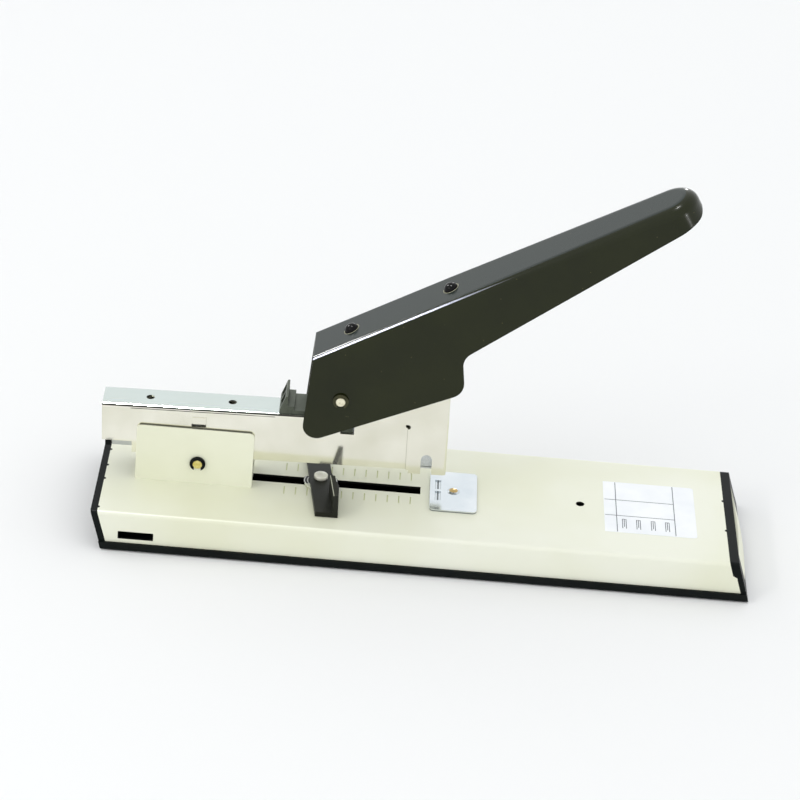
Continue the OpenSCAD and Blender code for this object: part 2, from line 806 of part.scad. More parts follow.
module staple_rail() {
    color("#C9CCCE") on_arm() difference() {
        union() {
            translate([-web_back, -rail_half, rail_low])
                cube([strip_front + web_back, 2 * rail_half, rail_t]);
            translate([-rail_back, -core_half, rail_low])
                cube([strip_front + rail_back, 2 * core_half, core_top - rail_low]);
        }
        translate([-rail_back - cut, -core_half + rail_t, rail_low + rail_t])
            cube([strip_front + rail_back + 2 * cut, 2 * (core_half - rail_t),
                core_top - rail_low - 2 * rail_t]);
        translate([-rail_back - cut, -core_slot_half, core_top - rail_t - cut])
            cube([strip_front + rail_back + 2 * cut, 2 * core_slot_half, rail_t + 2 * cut]);
        translate([-rail_back - cut, -core_half - cut, 0])
            cube([rail_back - web_back + cut, 2 * (core_half + cut), rail_rear_low]);
    }
}

module staple_strip() {
    color("#C4C7C9") on_arm() difference() {
        translate([strip_back, -crown_w / 2, staple_foot]) cube([strip_front - strip_back, crown_w, leg_l]);
        translate([strip_back - cut, -crown_w / 2 + wire_t, staple_foot - cut])
            cube([strip_front - strip_back + 2 * cut, crown_w - 2 * wire_t, leg_l - wire_t + cut]);
    }
}

// Loader: cap, rod, spring and pusher, which draw out at the rear of the arm

cap_l = 2.6;
cap_half = 6.4;
cap_h = 11.2;
rod_r = 1.5;
rod_raise = 0.4;
rod_up = (rail_low + core_top) / 2 + rod_raise;
rod_reach = 33.5;
rod_front = strip_back + rod_reach;
pusher_l = 10;
pusher_front = strip_back - body_gap;
pusher_back = pusher_front - pusher_l;
pusher_cover_t = 1;
pusher_neck_half = 1.2;
pusher_block_half = 4.4;
pusher_side_t = 0.6;
feed_spring_r = 2.6;
feed_wire = 0.6;
feed_turns = 24;
cap_front = -rail_back - body_gap;

module loader_cap() {
    color("#2A2C2C") on_arm() difference() {
        translate([cap_front - cap_l, -cap_half, rail_rear_low]) cube([cap_l, 2 * cap_half, cap_h]);
        translate([cap_front - cap_l / 2, 0, rod_up]) rotate([0, 90, 0])
            cylinder(r = rod_r + run_gap, h = cap_l);
    }
}

module loader_rod() {
    color("#C4C8CB") on_arm() translate([cap_front - cap_l / 2, 0, rod_up]) rotate([0, 90, 0])
        cylinder(r = rod_r, h = rod_front - cap_front + cap_l / 2);
}

module pusher_spring() {
    color("#BFC3C6") on_arm() translate([cap_front + seam_gap, 0, rod_up]) rotate([0, 90, 0])
        coil(feed_turns, feed_spring_r, feed_wire, pusher_back - body_gap - cap_front - seam_gap);
}

module pusher() {
    saddle_half = crown_w / 2;
    saddle_low = core_top + body_gap;
    saddle_top = saddle_low + pusher_cover_t;
    block_low = rail_low + rail_t + body_gap;
    block_top = core_top - rail_t - body_gap;
    color("#D2D5D7") on_arm() difference() {
        translate([pusher_back, -saddle_half, staple_foot])
            cube([pusher_l, 2 * saddle_half, saddle_top - staple_foot]);
        translate([pusher_back - cut, -saddle_half + pusher_side_t, staple_foot - cut])
            cube([pusher_l + 2 * cut, 2 * (saddle_half - pusher_side_t), saddle_low - staple_foot + cut]);
    }
    color("#D2D5D7") on_arm() difference() {
        union() {
            translate([pusher_back, -pusher_neck_half, block_low])
                cube([pusher_l, 2 * pusher_neck_half, saddle_top - block_low]);
            translate([pusher_back, -pusher_block_half, block_low])
                cube([pusher_l, 2 * pusher_block_half, block_top - block_low]);
        }
        translate([pusher_back - cut, 0, rod_up]) rotate([0, 90, 0])
            cylinder(r = rod_r + run_gap, h = pusher_l + 2 * cut);
    }
}

// Latch on top of the arm

latch_low = arm_top + body_gap;
latch_half = arm_half - body_gap;
latch_slab_t = 1.8;
latch_block_t = 3.6;
latch_block_l = 2.8;
latch_tab_x = 34.3;
latch_tab_l = 3.6;
latch_reach = 17;
latch_front = window_x + latch_reach;
latch_bend_r = 1;
latch_leg_up = 1.8;
latch_leg_low = crown_top + latch_leg_up;
latch_leg_out = arm_in - body_gap;
latch_heel_h = 1.5;
latch_tip_t = 0.9;
latch_tab_top = 8.4;
latch_pocket_shares = [0.12, 0.84];
latch_pocket_sides = [[-6.1, -0.6], [0.6, 6.1]];
latch_pocket_deep = 0.8;

// A point on the leaning rear face of the latch's tab, at a share of its height and a depth behind it
function tab_face(share, deep) = [latch_tab_x + share * (latch_tab_l - latch_tip_t) + deep,
    latch_low + latch_heel_h + share * (latch_tab_top - latch_heel_h)];

module latch() {
    color("#2B2D2E") on_arm() {
        translate([latch_tab_x, 0, latch_low]) linear_extrude(latch_slab_t)
            rounded(0, latch_front - latch_tab_x, latch_half, latch_bend_r);
        translate([latch_tab_x + latch_tab_l, -latch_half, latch_low])
            cube([latch_block_l, 2 * latch_half, latch_block_t]);
        difference() {
            across(-latch_half, latch_half) polygon([[latch_tab_x, latch_low],
                tab_face(0, 0), tab_face(1, 0), [latch_tab_x + latch_tab_l, latch_low + latch_tab_top],
                [latch_tab_x + latch_tab_l, latch_low]]);
            for (side = latch_pocket_sides)
                across(side[0], side[1]) polygon([tab_face(latch_pocket_shares[0], -cut),
                    tab_face(latch_pocket_shares[1], -cut),
                    tab_face(latch_pocket_shares[1], latch_pocket_deep),
                    tab_face(latch_pocket_shares[0], latch_pocket_deep)]);
        }
        both_sides() translate([latch_leg_x, latch_leg_out - latch_leg_t, latch_leg_low])
            cube([latch_leg_l, latch_leg_t, latch_low + latch_slab_t - latch_leg_low]);
    }
}

// Handle: a long channel, drawn in the handle's frame

handle_half = handle_w / 2;
handle_in = handle_half - handle_t;
handle_bend_r = 2;
crease_x = 62;
tip_edge_r = 5;
tip_x = handle_l - handle_half;
tip_low_r = 2.5;
grip_tip_h = 10.8;
grip_root_h = 26.3;
lobe_x = 44.8;
lobe_low = 18.6;
lobe_r = 7;
fillet_x = 60.8;
fillet_r = 7;
rear_top_share = 0.055;
rear_r = 5.8;
rear_lobe_x = 15.25;
rear_lobe_low = 12.84;
rear_turn = 146;
lower_turn = 264;
fillet_top_turn = 98;
rivet_places = [16.2, 62.8];
handle_rivet_r = 1.8;
handle_dome_r = 3;
handle_dome_h = 1.5;

// Middles of the round lobe and of the hollow in front of it, and the angle of the line that joins them
lobe_mid = [lobe_x, lobe_r - lobe_low];
fillet_mid = [fillet_x, handle_up - grip_root_h - fillet_r];
lobe_turn = atan2(fillet_mid[1] - lobe_mid[1], fillet_mid[0] - lobe_mid[0])
    - acos((lobe_r + fillet_r) / norm(fillet_mid - lobe_mid));

module handle_side() {
    polygon(concat([[-rear_top_share * handle_up, handle_up]],
        arc(-rear_lobe_x, rear_r - rear_lobe_low, rear_r, rear_turn, lower_turn),
        arc(lobe_mid[0], lobe_mid[1], lobe_r, lower_turn, 360 + lobe_turn),
        arc(fillet_mid[0], fillet_mid[1], fillet_r, 180 + lobe_turn, fillet_top_turn),
        arc(handle_l - tip_low_r, handle_up - grip_tip_h + tip_low_r, tip_low_r, 280, 360, 4),
        [[handle_l, handle_up]]));
}

// What lies outside a round bend, drawn from the corner that the bend replaces
function bend_gap(r) = concat(arc(-r, -r, r, 0, 90), [[-r, cut], [cut, cut], [cut, -r]]);

// What lies outside the bends of the top, below a given wall. In front of the crease both bends
// widen evenly, and they run round the tip.
module bend_trim(wall) {
    r = handle_bend_r - wall;
    tip_bend_r = tip_edge_r - wall;
    both_sides() translate([crease_x, handle_half - wall, handle_up - wall]) rotate([90, 0, 90])
        linear_extrude(tip_x - crease_x, scale = tip_bend_r / r) polygon(bend_gap(r));
    intersection() {
        translate([tip_x, 0, handle_up - wall]) rotate_extrude($fn = 96)
            polygon([for (p = bend_gap(tip_bend_r)) [p[0] + handle_half - wall, p[1]]]);
        translate([tip_x, -handle_w, 0]) cube([handle_w, 2 * handle_w, 2 * handle_up]);
    }
}

module handle() {
    color("#30351F") on_handle() difference() {
        intersection() {
            across(-handle_half, handle_half) handle_side();
            along(-handle_l, handle_l)
                polygon(channel_outline(handle_half, -handle_l, handle_up, handle_bend_r));
            translate([0, 0, -handle_l]) linear_extrude(2 * handle_l)
                slot_cut(-handle_l, handle_l, handle_half, $fn = 96);
        }
        bend_trim(0);
        difference() {
            intersection() {
                across(-handle_in, handle_in) polygon([[-handle_l, -handle_l],
                    [-handle_l, handle_up - handle_t], [handle_l, handle_up - handle_t],
                    [handle_l, -handle_l]]);
                translate([0, 0, -handle_l]) linear_extrude(2 * handle_l)
                    slot_cut(-handle_l, handle_l - handle_t, handle_in, $fn = 96);
                along(-handle_l, handle_l) polygon(
                    channel_outline(handle_in, -handle_l, handle_up - handle_t, handle_bend_r - handle_t));
            }
            bend_trim(handle_t);
        }
        cross_bar(0, 0, pivot_pin_r + run_gap, -handle_half - cut, handle_half + cut);
        for (x = rivet_places)
            translate([x, 0, handle_up - handle_t - cut])
                cylinder(r = handle_rivet_r + run_gap, h = handle_t + 2 * cut);
    }
}

module pivot_pin() {
    color("#D8D6CC") on_arm() translate([pivot_x, 0, pivot_up]) clip_pin(pivot_pin_r, handle_half);
}

module pivot_clip() {
    color("#1E1F20") on_arm() translate([pivot_x, 0, pivot_up]) pin_clip(pivot_pin_r, handle_half);
}

// Press channel under the handle's top, with the roller that pushes the driver

press_t = 1.2;
press_half = arm_half - blade_gap;
press_in = press_half - press_t;
press_top = handle_up - handle_t;
press_back = 7;
press_front = 76;
roller_r = 4;
roller_pin_r = 1.5;
head_top = 45.3;
roller_back = 1;
// Place of the roller in the arm's frame and, turned by the handle's angle, in the handle's
roller_dx = (blade_x + blade_t - roller_back) - pivot_x;
roller_dz = head_top + body_gap + roller_r - pivot_up;
roller_u = roller_dx * cos(handle_tilt) + roller_dz * sin(handle_tilt);
roller_w = roller_dz * cos(handle_tilt) - roller_dx * sin(handle_tilt);
press_ear_r = 5;
press_nose_h = 8.6;
press_lobe_r = 3.2;
press_bend_r = 1.6;

module press_side() {
    polygon(concat([[press_back, press_top], [-press_ear_r / 2, press_ear_r]],
        arc(0, 0, press_ear_r, 130, 270),
        [[roller_u - 2 * press_lobe_r - press_ear_r, -press_ear_r], [roller_u - press_lobe_r, roller_w]],
        arc(roller_u, roller_w, press_lobe_r, 200, 350),
        [[press_front - press_ear_r, press_top - press_nose_h], [press_front, press_top]]));
}

module press_channel() {
    color("#54585A") on_handle() difference() {
        intersection() {
            across(-press_half, press_half) press_side();
            along(-handle_l, handle_l)
                polygon(channel_outline(press_half, -handle_l, press_top, press_bend_r));
        }
        along(-handle_l, handle_l) polygon(
            channel_outline(press_in, -handle_l - cut, press_top - press_t, press_bend_r - press_t));
        cross_bar(0, 0, pivot_pin_r + run_gap, -press_half - cut, press_half + cut);
        cross_bar(roller_u, roller_w, roller_pin_r + run_gap, -press_half - cut, press_half + cut);
        for (x = rivet_places)
            translate([x, 0, press_top - press_t - cut])
                cylinder(r = handle_rivet_r + run_gap, h = press_t + 2 * cut);
    }
}

module dome_rivets() {
    color("#3A3E3E") on_handle() for (x = rivet_places) translate([x, 0, handle_up]) {
        dome(handle_dome_r, handle_dome_h);
        translate([0, 0, -handle_t - press_t]) cylinder(r = handle_rivet_r, h = handle_t + press_t);
        translate([0, 0, -handle_t - press_t - handle_dome_h])
            cylinder(r = handle_dome_r, h = handle_dome_h);
    }
}

module press_roller() {
    roller_half = press_in - body_gap;
    color("#9EA2A5") on_handle() difference() {
        cross_bar(roller_u, roller_w, roller_r, -roller_half, roller_half);
        cross_bar(roller_u, roller_w, roller_pin_r + run_gap, -roller_half - cut, roller_half + cut);
    }
}

module roller_pin() {
    color("#B8BBBD") on_handle() cross_bar(roller_u, roller_w, roller_pin_r, -press_half, press_half);
}

// Driver: head, spring flange, guide post and blade

driver_half = 5.6;
driver_back = 17.6;
stem_l = 4.5;
stem_low = 36;
flange_low = 42;
flange_t = 2;
blade_half = 6.4;
blade_top = 40.3;
blade_low = crown_top + blade_rest;
post_r = 2.6;
post_l = 5;
driver_spring_x = 12.2;
driver_spring_r = 4.2;
driver_wire = 0.8;
driver_turns = 7;

module driver() {
    head_front = blade_x + blade_t;
    color("#AEB2B5") on_arm() {
        translate([arm_front - driver_back, -driver_half, flange_low])
            cube([head_front - arm_front + driver_back, 2 * driver_half, flange_t]);
        translate([head_front - stem_l, -driver_half, stem_low])
            cube([stem_l, 2 * driver_half, head_top - stem_low]);
        translate([blade_x, -blade_half, blade_low]) cube([blade_t, 2 * blade_half, blade_top - blade_low]);
        translate([arm_front - driver_spring_x, 0, flange_low - post_l]) cylinder(r = post_r, h = post_l);
    }
}

module driver_spring() {
    color("#C6C9CC") on_arm() translate([arm_front - driver_spring_x, 0, seat_top])
        coil(driver_turns, driver_spring_r, driver_wire, flange_low - body_gap - seat_top);
}

echo("least gaps of the springs", coil_gap(lift_turns, lift_spring_r, lift_wire, lift_span),
    coil_gap(driver_turns, driver_spring_r, driver_wire, flange_low - body_gap - seat_top),
    coil_gap(feed_turns, feed_spring_r, feed_wire, pusher_back - body_gap - cap_front - seam_gap));

base_cover();
base_tray();
rear_end_cap();
front_end_cap();
front_panel();
rubber_feet();
tray_screws();
anvil_plate();
anvil_rivet();
hinge_bracket();
hinge_pin();
hinge_clip();
arm_return_spring();
depth_stop();
depth_stop_washer();
depth_stop_screw();
depth_stop_nut();
arm_frame();
nose_housing();
nose_plate();
staple_rail();
staple_strip();
pivot_pin();
pivot_clip();
driver_spring();
latch();
loader_cap();
loader_rod();
pusher_spring();
pusher();
handle();
press_channel();
dome_rivets();
press_roller();
roller_pin();
driver();
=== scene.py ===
import json
import math

import bpy
from mathutils import Matrix, Vector


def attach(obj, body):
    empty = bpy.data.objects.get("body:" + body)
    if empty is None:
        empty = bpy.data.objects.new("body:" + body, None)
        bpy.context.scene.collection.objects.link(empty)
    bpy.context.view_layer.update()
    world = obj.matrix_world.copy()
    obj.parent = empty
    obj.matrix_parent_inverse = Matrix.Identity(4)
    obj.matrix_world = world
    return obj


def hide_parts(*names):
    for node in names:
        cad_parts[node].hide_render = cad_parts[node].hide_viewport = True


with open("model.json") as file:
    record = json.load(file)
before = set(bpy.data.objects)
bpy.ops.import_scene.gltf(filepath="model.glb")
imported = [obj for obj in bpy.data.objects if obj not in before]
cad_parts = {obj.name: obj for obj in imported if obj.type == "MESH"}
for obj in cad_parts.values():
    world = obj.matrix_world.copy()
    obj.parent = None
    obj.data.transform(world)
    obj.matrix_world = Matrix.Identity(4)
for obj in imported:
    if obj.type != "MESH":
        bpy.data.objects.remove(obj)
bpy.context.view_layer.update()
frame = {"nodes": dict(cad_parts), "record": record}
nodes = frame["nodes"]
print("frame loaded:", len(nodes), "nodes")

mm = 0.001

# How squarely a face may look down, from 0 to 1, before it stays flat on a piece that is shaded smooth
flatFoot = 0.9

origin = Matrix.Identity(4)

# The stapler's three frames, in millimetres and degrees: the base's starts on its rear bottom edge, the
# arm's on the hinge pin over the base's top, and the handle's on its pivot in the arm
part = {
    "baseLength": 279.0,
    "rearRake": 4.8,
    "baseTop": 17.7,
    "footProud": 0.8,
    "hingeX": 38.0,
    "hingeUp": 10.3,
    "armTilt": 1.35,
    "pivotX": 60.5,
    "pivotUp": 37.4,
    "handleTilt": 29.0,
    "handleUp": 23.6,
}


def baseFrame():
    # The model stands with the middle of its length over the origin, and on its feet
    midX = (part["baseLength"] - part["rearRake"]) / 2
    return Matrix.Translation(Vector((-midX, 0, part["footProud"])) * mm)


def armFrame():
    hinge = Vector((part["hingeX"], 0, part["baseTop"] + part["hingeUp"])) * mm
    tilt = Matrix.Rotation(-math.radians(part["armTilt"]), 4, "Y")
    return baseFrame() @ Matrix.Translation(hinge) @ tilt


def handleFrame():
    pivot = Vector((part["pivotX"], 0, part["pivotUp"])) * mm
    tilt = Matrix.Rotation(-math.radians(part["handleTilt"]), 4, "Y")
    return armFrame() @ Matrix.Translation(pivot) @ tilt


# Camera at the photograph's angle, fitted to the base's corners and its 279 mm edge; millimetres and
# degrees, apart from its focal length, which is in the picture's pixels
camera = {
    "place": (-30.68, -1111.54, 718.33),
    "yaw": 0.845,
    "pitch": 30.503,
    "roll": 5.204,
    "focalPixels": 3004.45,
    "picturePixels": 800,
    "sensor": 36.0,
    "nearest": 50.0,
    "farthest": 30000.0,
}


def makeCamera():
    data = bpy.data.cameras.new("photoCamera")
    data.sensor_width = camera["sensor"]
    data.lens = camera["focalPixels"] / camera["picturePixels"] * camera["sensor"]
    data.clip_start = camera["nearest"] * mm
    data.clip_end = camera["farthest"] * mm
    rig = bpy.data.objects.new("photoCamera", data)
    bpy.context.scene.collection.objects.link(rig)
    turn = (
        Matrix.Rotation(-math.radians(camera["yaw"]), 4, "Z")
        @ Matrix.Rotation(math.radians(90 - camera["pitch"]), 4, "X")
        @ Matrix.Rotation(math.radians(camera["roll"]), 4, "Z")
    )
    rig.matrix_world = Matrix.Translation(Vector(camera["place"]) * mm) @ turn
    bpy.context.scene.camera = rig


def linear(code):
    # sRGB hex to the linear values that Blender's sockets take
    parts = [int(code[i : i + 2], 16) / 255 for i in (1, 3, 5)]
    return tuple(c / 12.92 if c <= 0.04045 else ((c + 0.055) / 1.055) ** 2.4 for c in parts) + (1.0,)


def addNode(tree, kind, settings=None, sockets=None, out=None):
    # One node with its settings; sockets are named by identifier and take a value or a link
    made = tree.nodes.new(kind)
    for key, value in (settings or {}).items():
        setattr(made, key, value)
    for key, value in (sockets or {}).items():
        socket = next(s for s in made.inputs if s.identifier == key)
        if isinstance(value, bpy.types.NodeSocket):
            tree.links.new(value, socket)
        else:
            socket.default_value = value
    return next(s for s in made.outputs if s.identifier == out) if out else made


# Settings that several nodes share
times = {"operation": "MULTIPLY"}
within = {"operation": "COMPARE"}
colourMix = {"data_type": "RGBA"}

# The shader's names for the values that are the same all over a finish
shaderNames = {
    "metallic": "Metallic",
    "ior": "IOR",
    "coat": "Coat Weight",
    "coatRough": "Coat Roughness",
}

# What all finishes have in common: how fine their noise is, where one tone of the clouds turns into
# the other, how strongly the grain's height counts, and how well a softened edge is sampled; a grain
# that is really finer than about half a millimetre is drawn that coarse, or coarser, so that it shows
skinValues = {
    "detail": 3.0,
    "cloudEdges": (0.32, 0.68),
    "bump": 0.6,
    "edgeSamples": 6,
}


def startFinish(name, colours, cloudMm, grainMm, rough, deepMm, stretch=(1, 1, 1), softMm=0, **constants):
    # The skin that every finish has: a slow change of tone, and a fine grain in gloss and height
    made = bpy.data.materials.new(name)
    made.use_nodes = True
    tree = made.node_tree
    shader = tree.nodes["Principled BSDF"]
    for key, value in constants.items():
        shader.inputs[shaderNames[key]].default_value = value

    place = addNode(tree, "ShaderNodeTexCoord", out="Object")
    sockets = {"Vector": place, "Scale": 1 / (cloudMm * mm), "Detail": skinValues["detail"]}
    cloud = addNode(tree, "ShaderNodeTexNoise", None, sockets, "Fac")
    low, high = skinValues["cloudEdges"]
    sockets = {"Value": cloud, "From Min": low, "From Max": high}
    share = addNode(tree, "ShaderNodeMapRange", None, sockets, "Result")
    sockets = {"Factor_Float": share, "A_Color": linear(colours[0]), "B_Color": linear(colours[1])}
    tone = addNode(tree, "ShaderNodeMix", colourMix, sockets, "Result_Color")

    drawn = addNode(tree, "ShaderNodeMapping", None, {"Vector": place, "Scale": stretch}, "Vector")
    sockets = {"Vector": drawn, "Scale": 1 / (grainMm * mm), "Detail": skinValues["detail"]}
    grain = addNode(tree, "ShaderNodeTexNoise", None, sockets, "Fac")
    sockets = {"Value": grain, "To Min": rough[0], "To Max": rough[1]}
    gloss = addNode(tree, "ShaderNodeMapRange", None, sockets, "Result")
    tree.links.new(gloss, shader.inputs["Roughness"])

    sockets = {"Height": grain, "Distance": deepMm * mm, "Strength": skinValues["bump"]}
    if softMm:
        settings = {"samples": skinValues["edgeSamples"]}
        sockets["Normal"] = addNode(tree, "ShaderNodeBevel", settings, {"Radius": softMm * mm}, "Normal")
    tree.links.new(addNode(tree, "ShaderNodeBump", None, sockets, "Normal"), shader.inputs["Normal"])
    tree.links.new(tone, shader.inputs["Base Color"])
    return {"material": made, "tree": tree, "shader": shader, "place": place, "grain": grain}


def localPlace(skin, toWorld):
    # Object coordinates seen in the frame of the base, the arm or the handle
    back = toWorld.inverted()
    sockets = {"Vector": skin["place"], "Location": back.to_translation(), "Rotation": back.to_euler()}
    return addNode(skin["tree"], "ShaderNodeMapping", None, sockets, "Vector")


def inBox(skin, local, low, high):
    # 1 inside a box given in millimetres, and 0 outside it; y is measured both ways from the middle
    tree = skin["tree"]
    split = addNode(tree, "ShaderNodeSeparateXYZ", None, {"Vector": local})
    side = addNode(tree, "ShaderNodeMath", {"operation": "ABSOLUTE"}, {"Value": split.outputs["Y"]}, "Value")
    mask = None
    for axis, socket in enumerate((split.outputs["X"], side, split.outputs["Z"])):
        middle = (low[axis] + high[axis]) / 2 * mm
        reach = (high[axis] - low[axis]) / 2 * mm
        sockets = {"Value": socket, "Value_001": middle, "Value_002": reach}
        inside = addNode(tree, "ShaderNodeMath", within, sockets, "Value")
        if mask is None:
            mask = inside
        else:
            mask = addNode(tree, "ShaderNodeMath", times, {"Value": mask, "Value_001": inside}, "Value")
    return mask


def awayFrom(skin, local, x):
    # Distance from an upright axis on the middle line, x in millimetres
    tree = skin["tree"]
    flat = addNode(tree, "ShaderNodeVectorMath", times, {"Vector": local, "Vector_001": (1, 1, 0)}, "Vector")
    sockets = {"Vector": flat, "Vector_001": (x * mm, 0, 0)}
    return addNode(tree, "ShaderNodeVectorMath", {"operation": "DISTANCE"}, sockets, "Value")


def paintOver(skin, mask, strength, colour):
    # Puts one more colour over what the shader's base colour has so far
    tree = skin["tree"]
    base = skin["shader"].inputs["Base Color"]
    share = addNode(tree, "ShaderNodeMath", times, {"Value": mask, "Value_001": strength}, "Value")
    sockets = {"Factor_Float": share, "A_Color": base.links[0].from_socket, "B_Color": linear(colour)}
    tree.links.new(addNode(tree, "ShaderNodeMix", colourMix, sockets, "Result_Color"), base)


def paintMarks(skin, local, marks):
    # Each mark is a box with the strength and colour of its paint; a broken one follows the grain
    for mark in marks.values():
        low, high = mark["box"]
        mask = inBox(skin, local, low, high)
        if mark.get("broken"):
            sockets = {"Value": mask, "Value_001": skin["grain"]}
            mask = addNode(skin["tree"], "ShaderNodeMath", times, sockets, "Value")
        paintOver(skin, mask, mark["strength"], mark["colour"])


# Openings of the cover, whose cut walls are painted dark as shade, and its ruled ticks
coverShadeAndTicks = {
    "slot": {"box": ((60.7, -0.1, 16.3), (135.4, 3.04, 17.64)), "strength": 1.0, "colour": "#0A0A08"},
    "sideSlot": {"box": ((7.25, 30.0, 5.1), (22.45, 40.0, 8.8)), "strength": 1.0, "colour": "#0A0A08"},
    "hole": {"box": ((203.4, -0.1, 16.3), (207.4, 1.95, 17.6)), "strength": 1.0, "colour": "#0A0A08"},
    "ticks": {"box": ((70.0, 5.0, 17.3), (136.0, 14.0, 17.6)), "strength": 1.0, "colour": "#C9CD9A"},
}


def creamPowderCoat():
    # Baked polyester powder on steel: satin, a slight orange peel, a little greener where it is thin
    colours = ("#DEDFC6", "#E7E8D9")
    skin = startFinish(
        "creamPowderCoat", colours, cloudMm=70, grainMm=1.2, rough=(0.3, 0.44), deepMm=0.006, ior=1.5
    )
    # Painted shade on the openings' walls, and the ticks
    paintMarks(skin, localPlace(skin, baseFrame()), coverShadeAndTicks)
    return skin["material"]


# Painted shade along the upper edge of the small plate that the hinge pin goes through
plateEdgeShade = {
    "upperEdge": {"box": ((11.0, 7.8, 44.3), (62.0, 8.5, 44.8)), "strength": 0.9, "colour": "#33341F"},
}


def creamSheet():
    # The same powder coat on the small plates, with painted shade along their upper edge
    colours = ("#E2E3CC", "#E9EAD6")
    skin = startFinish(
        "creamSheet", colours, cloudMm=30, grainMm=1.2, rough=(0.3, 0.44), deepMm=0.006, ior=1.5
    )
    paintMarks(skin, localPlace(skin, baseFrame()), plateEdgeShade)
    return skin["material"]


# Washer under the depth stop: where the slot crosses it, it has painted shade, and two painted highlights on
# its rims
washer = {
    "middleX": 91.5,
    "rims": (7.05, 5.7),
    "rimHalf": 0.2,
    # Colour of the two painted highlights
    "rimColour": "#E6E7E2",
    "slot": ((80.0, -0.1, 17.0), (103.0, 3.0, 19.0)),
    "slotShadeColour": "#070706",
}


def rimmedWasher():
    # Washer painted as the cover is; over the slot it has painted shade, and two painted highlights on its
    # rims
    colours = ("#D6D8C2", "#DEE0CC")
    skin = startFinish(
        "rimmedWasher", colours, cloudMm=8, grainMm=0.8, rough=(0.34, 0.46), deepMm=0.004, ior=1.45
    )
    tree = skin["tree"]
    local = localPlace(skin, baseFrame())
    slot = inBox(skin, local, *washer["slot"])
    paintOver(skin, slot, 1.0, washer["slotShadeColour"])
    away = awayFrom(skin, local, washer["middleX"])
    for rim in washer["rims"]:
        sockets = {"Value": away, "Value_001": rim * mm, "Value_002": washer["rimHalf"] * mm}
        ring = addNode(tree, "ShaderNodeMath", within, sockets, "Value")
        highlightInSlot = addNode(tree, "ShaderNodeMath", times, {"Value": ring, "Value_001": slot}, "Value")
        paintOver(skin, highlightInSlot, 1.0, washer["rimColour"])
    return skin["material"]


# Anvil: painted shade in the pockets that turn a staple's legs, and on the lower half of its edge, under its
# rounding
anvilShade = {
    "pockets": {"box": ((141.4, 0.7, 18.3), (144.4, 8.3, 18.64)), "strength": 0.4, "colour": "#8A9396"},
    "lowerEdge": {"box": ((138.0, -0.1, 17.6), (161.0, 17.0, 18.15)), "strength": 0.8, "colour": "#4A5052"},
}


def chromedAnvil():
    # Bright chrome on a pressed plate, cool and slightly wavy; its two pockets are painted darker as shade
    colours = ("#D7DEE3", "#E3E8EB")
    skin = startFinish(
        "chromedAnvil", colours, cloudMm=12, grainMm=0.9, rough=(0.1, 0.2), deepMm=0.002, metallic=0.9
    )
    paintMarks(skin, localPlace(skin, baseFrame()), anvilShade)
    return skin["material"]


# Middle of the anvil's rivet and how far its brass shows; its rim is plated with the plate
anvilRivet = {
    "x": 149.7,
    "bare": 1.9,
    "rimColour": "#C8CED2",
}


def platedRivet():
    # Brass rivet of the anvil: only its middle is bare, the rim was chromed with the plate
    colours = ("#A98F58", "#C6AE7A")
    skin = startFinish(
        "platedRivet", colours, cloudMm=2, grainMm=0.5, rough=(0.18, 0.3), deepMm=0.002, metallic=0.95
    )
    away = awayFrom(skin, localPlace(skin, baseFrame()), anvilRivet["x"])
    sockets = {"Value": away, "Value_001": anvilRivet["bare"] * mm}
    rim = addNode(skin["tree"], "ShaderNodeMath", {"operation": "GREATER_THAN"}, sockets, "Value")
    paintOver(skin, rim, 1.0, anvilRivet["rimColour"])
    return skin["material"]


# Fin on the near end of the depth stop: a frame along the left edge of its top, and a painted highlight
# there
fin = {
    "corner": (97.9, -28.0, 29.2),
    "turn": 8.2,
    "marks": {
        "edgeHighlight": {"box": ((-0.05, 0.0, -0.2), (0.3, 16.4, 0.1)), "strength": 0.8, "colour": "#C9CBB8"},
    },
}


def wornSlider():
    # Moulded black plastic as elsewhere, with a pale painted highlight along one edge of the fin
    colours = ("#14160E", "#1E2018")
    skin = startFinish(
        "wornSlider", colours, cloudMm=18, grainMm=0.6, rough=(0.32, 0.48), deepMm=0.01, ior=1.3
    )
    turn = Matrix.Rotation(math.radians(fin["turn"]), 4, "Z")
    edge = baseFrame() @ Matrix.Translation(Vector(fin["corner"]) * mm) @ turn
    paintMarks(skin, localPlace(skin, edge), fin["marks"])
    return skin["material"]


def blackAbs():
    # Moulded black ABS with a fine sparked grain: satin, almost no colour of its own, and a low index
    # because the photograph shows hardly any sheen on it
    colours = ("#0A0E0E", "#121615")
    skin = startFinish(
        "blackAbs", colours, cloudMm=18, grainMm=0.6, rough=(0.32, 0.48), deepMm=0.01, ior=1.18
    )
    return skin["material"]


# Upper bends of the handle, in its own frame: a pale, half metallic highlight painted there, which fades out
# towards the tip
handleBendHighlight = {
    "box": ((-40.0, 11.15, 22.65), (110.0, 11.75, 23.3)),
    "fadeFrom": 52.0,
    "fadeTo": 92.0,
    "colour": "#C3C6D8",
    "metallic": 0.45,
}

# Flat top of the handle, painted lighter and cooler than its sides as the sheen it takes from above
handleTopSheen = {
    "top": {"box": ((-45.0, -0.1, 23.4), (200.0, 10.4, 23.8)), "strength": 0.5, "colour": "#333D40"},
}

# Dust that was baked into the enamel: the distance between specks, and their radii in shares of it
enamelSpecks = {
    "spacing": 4.5,
    "core": 0.03,
    "rim": 0.055,
    "strength": 0.5,
    "colour": "#6A6440",
}


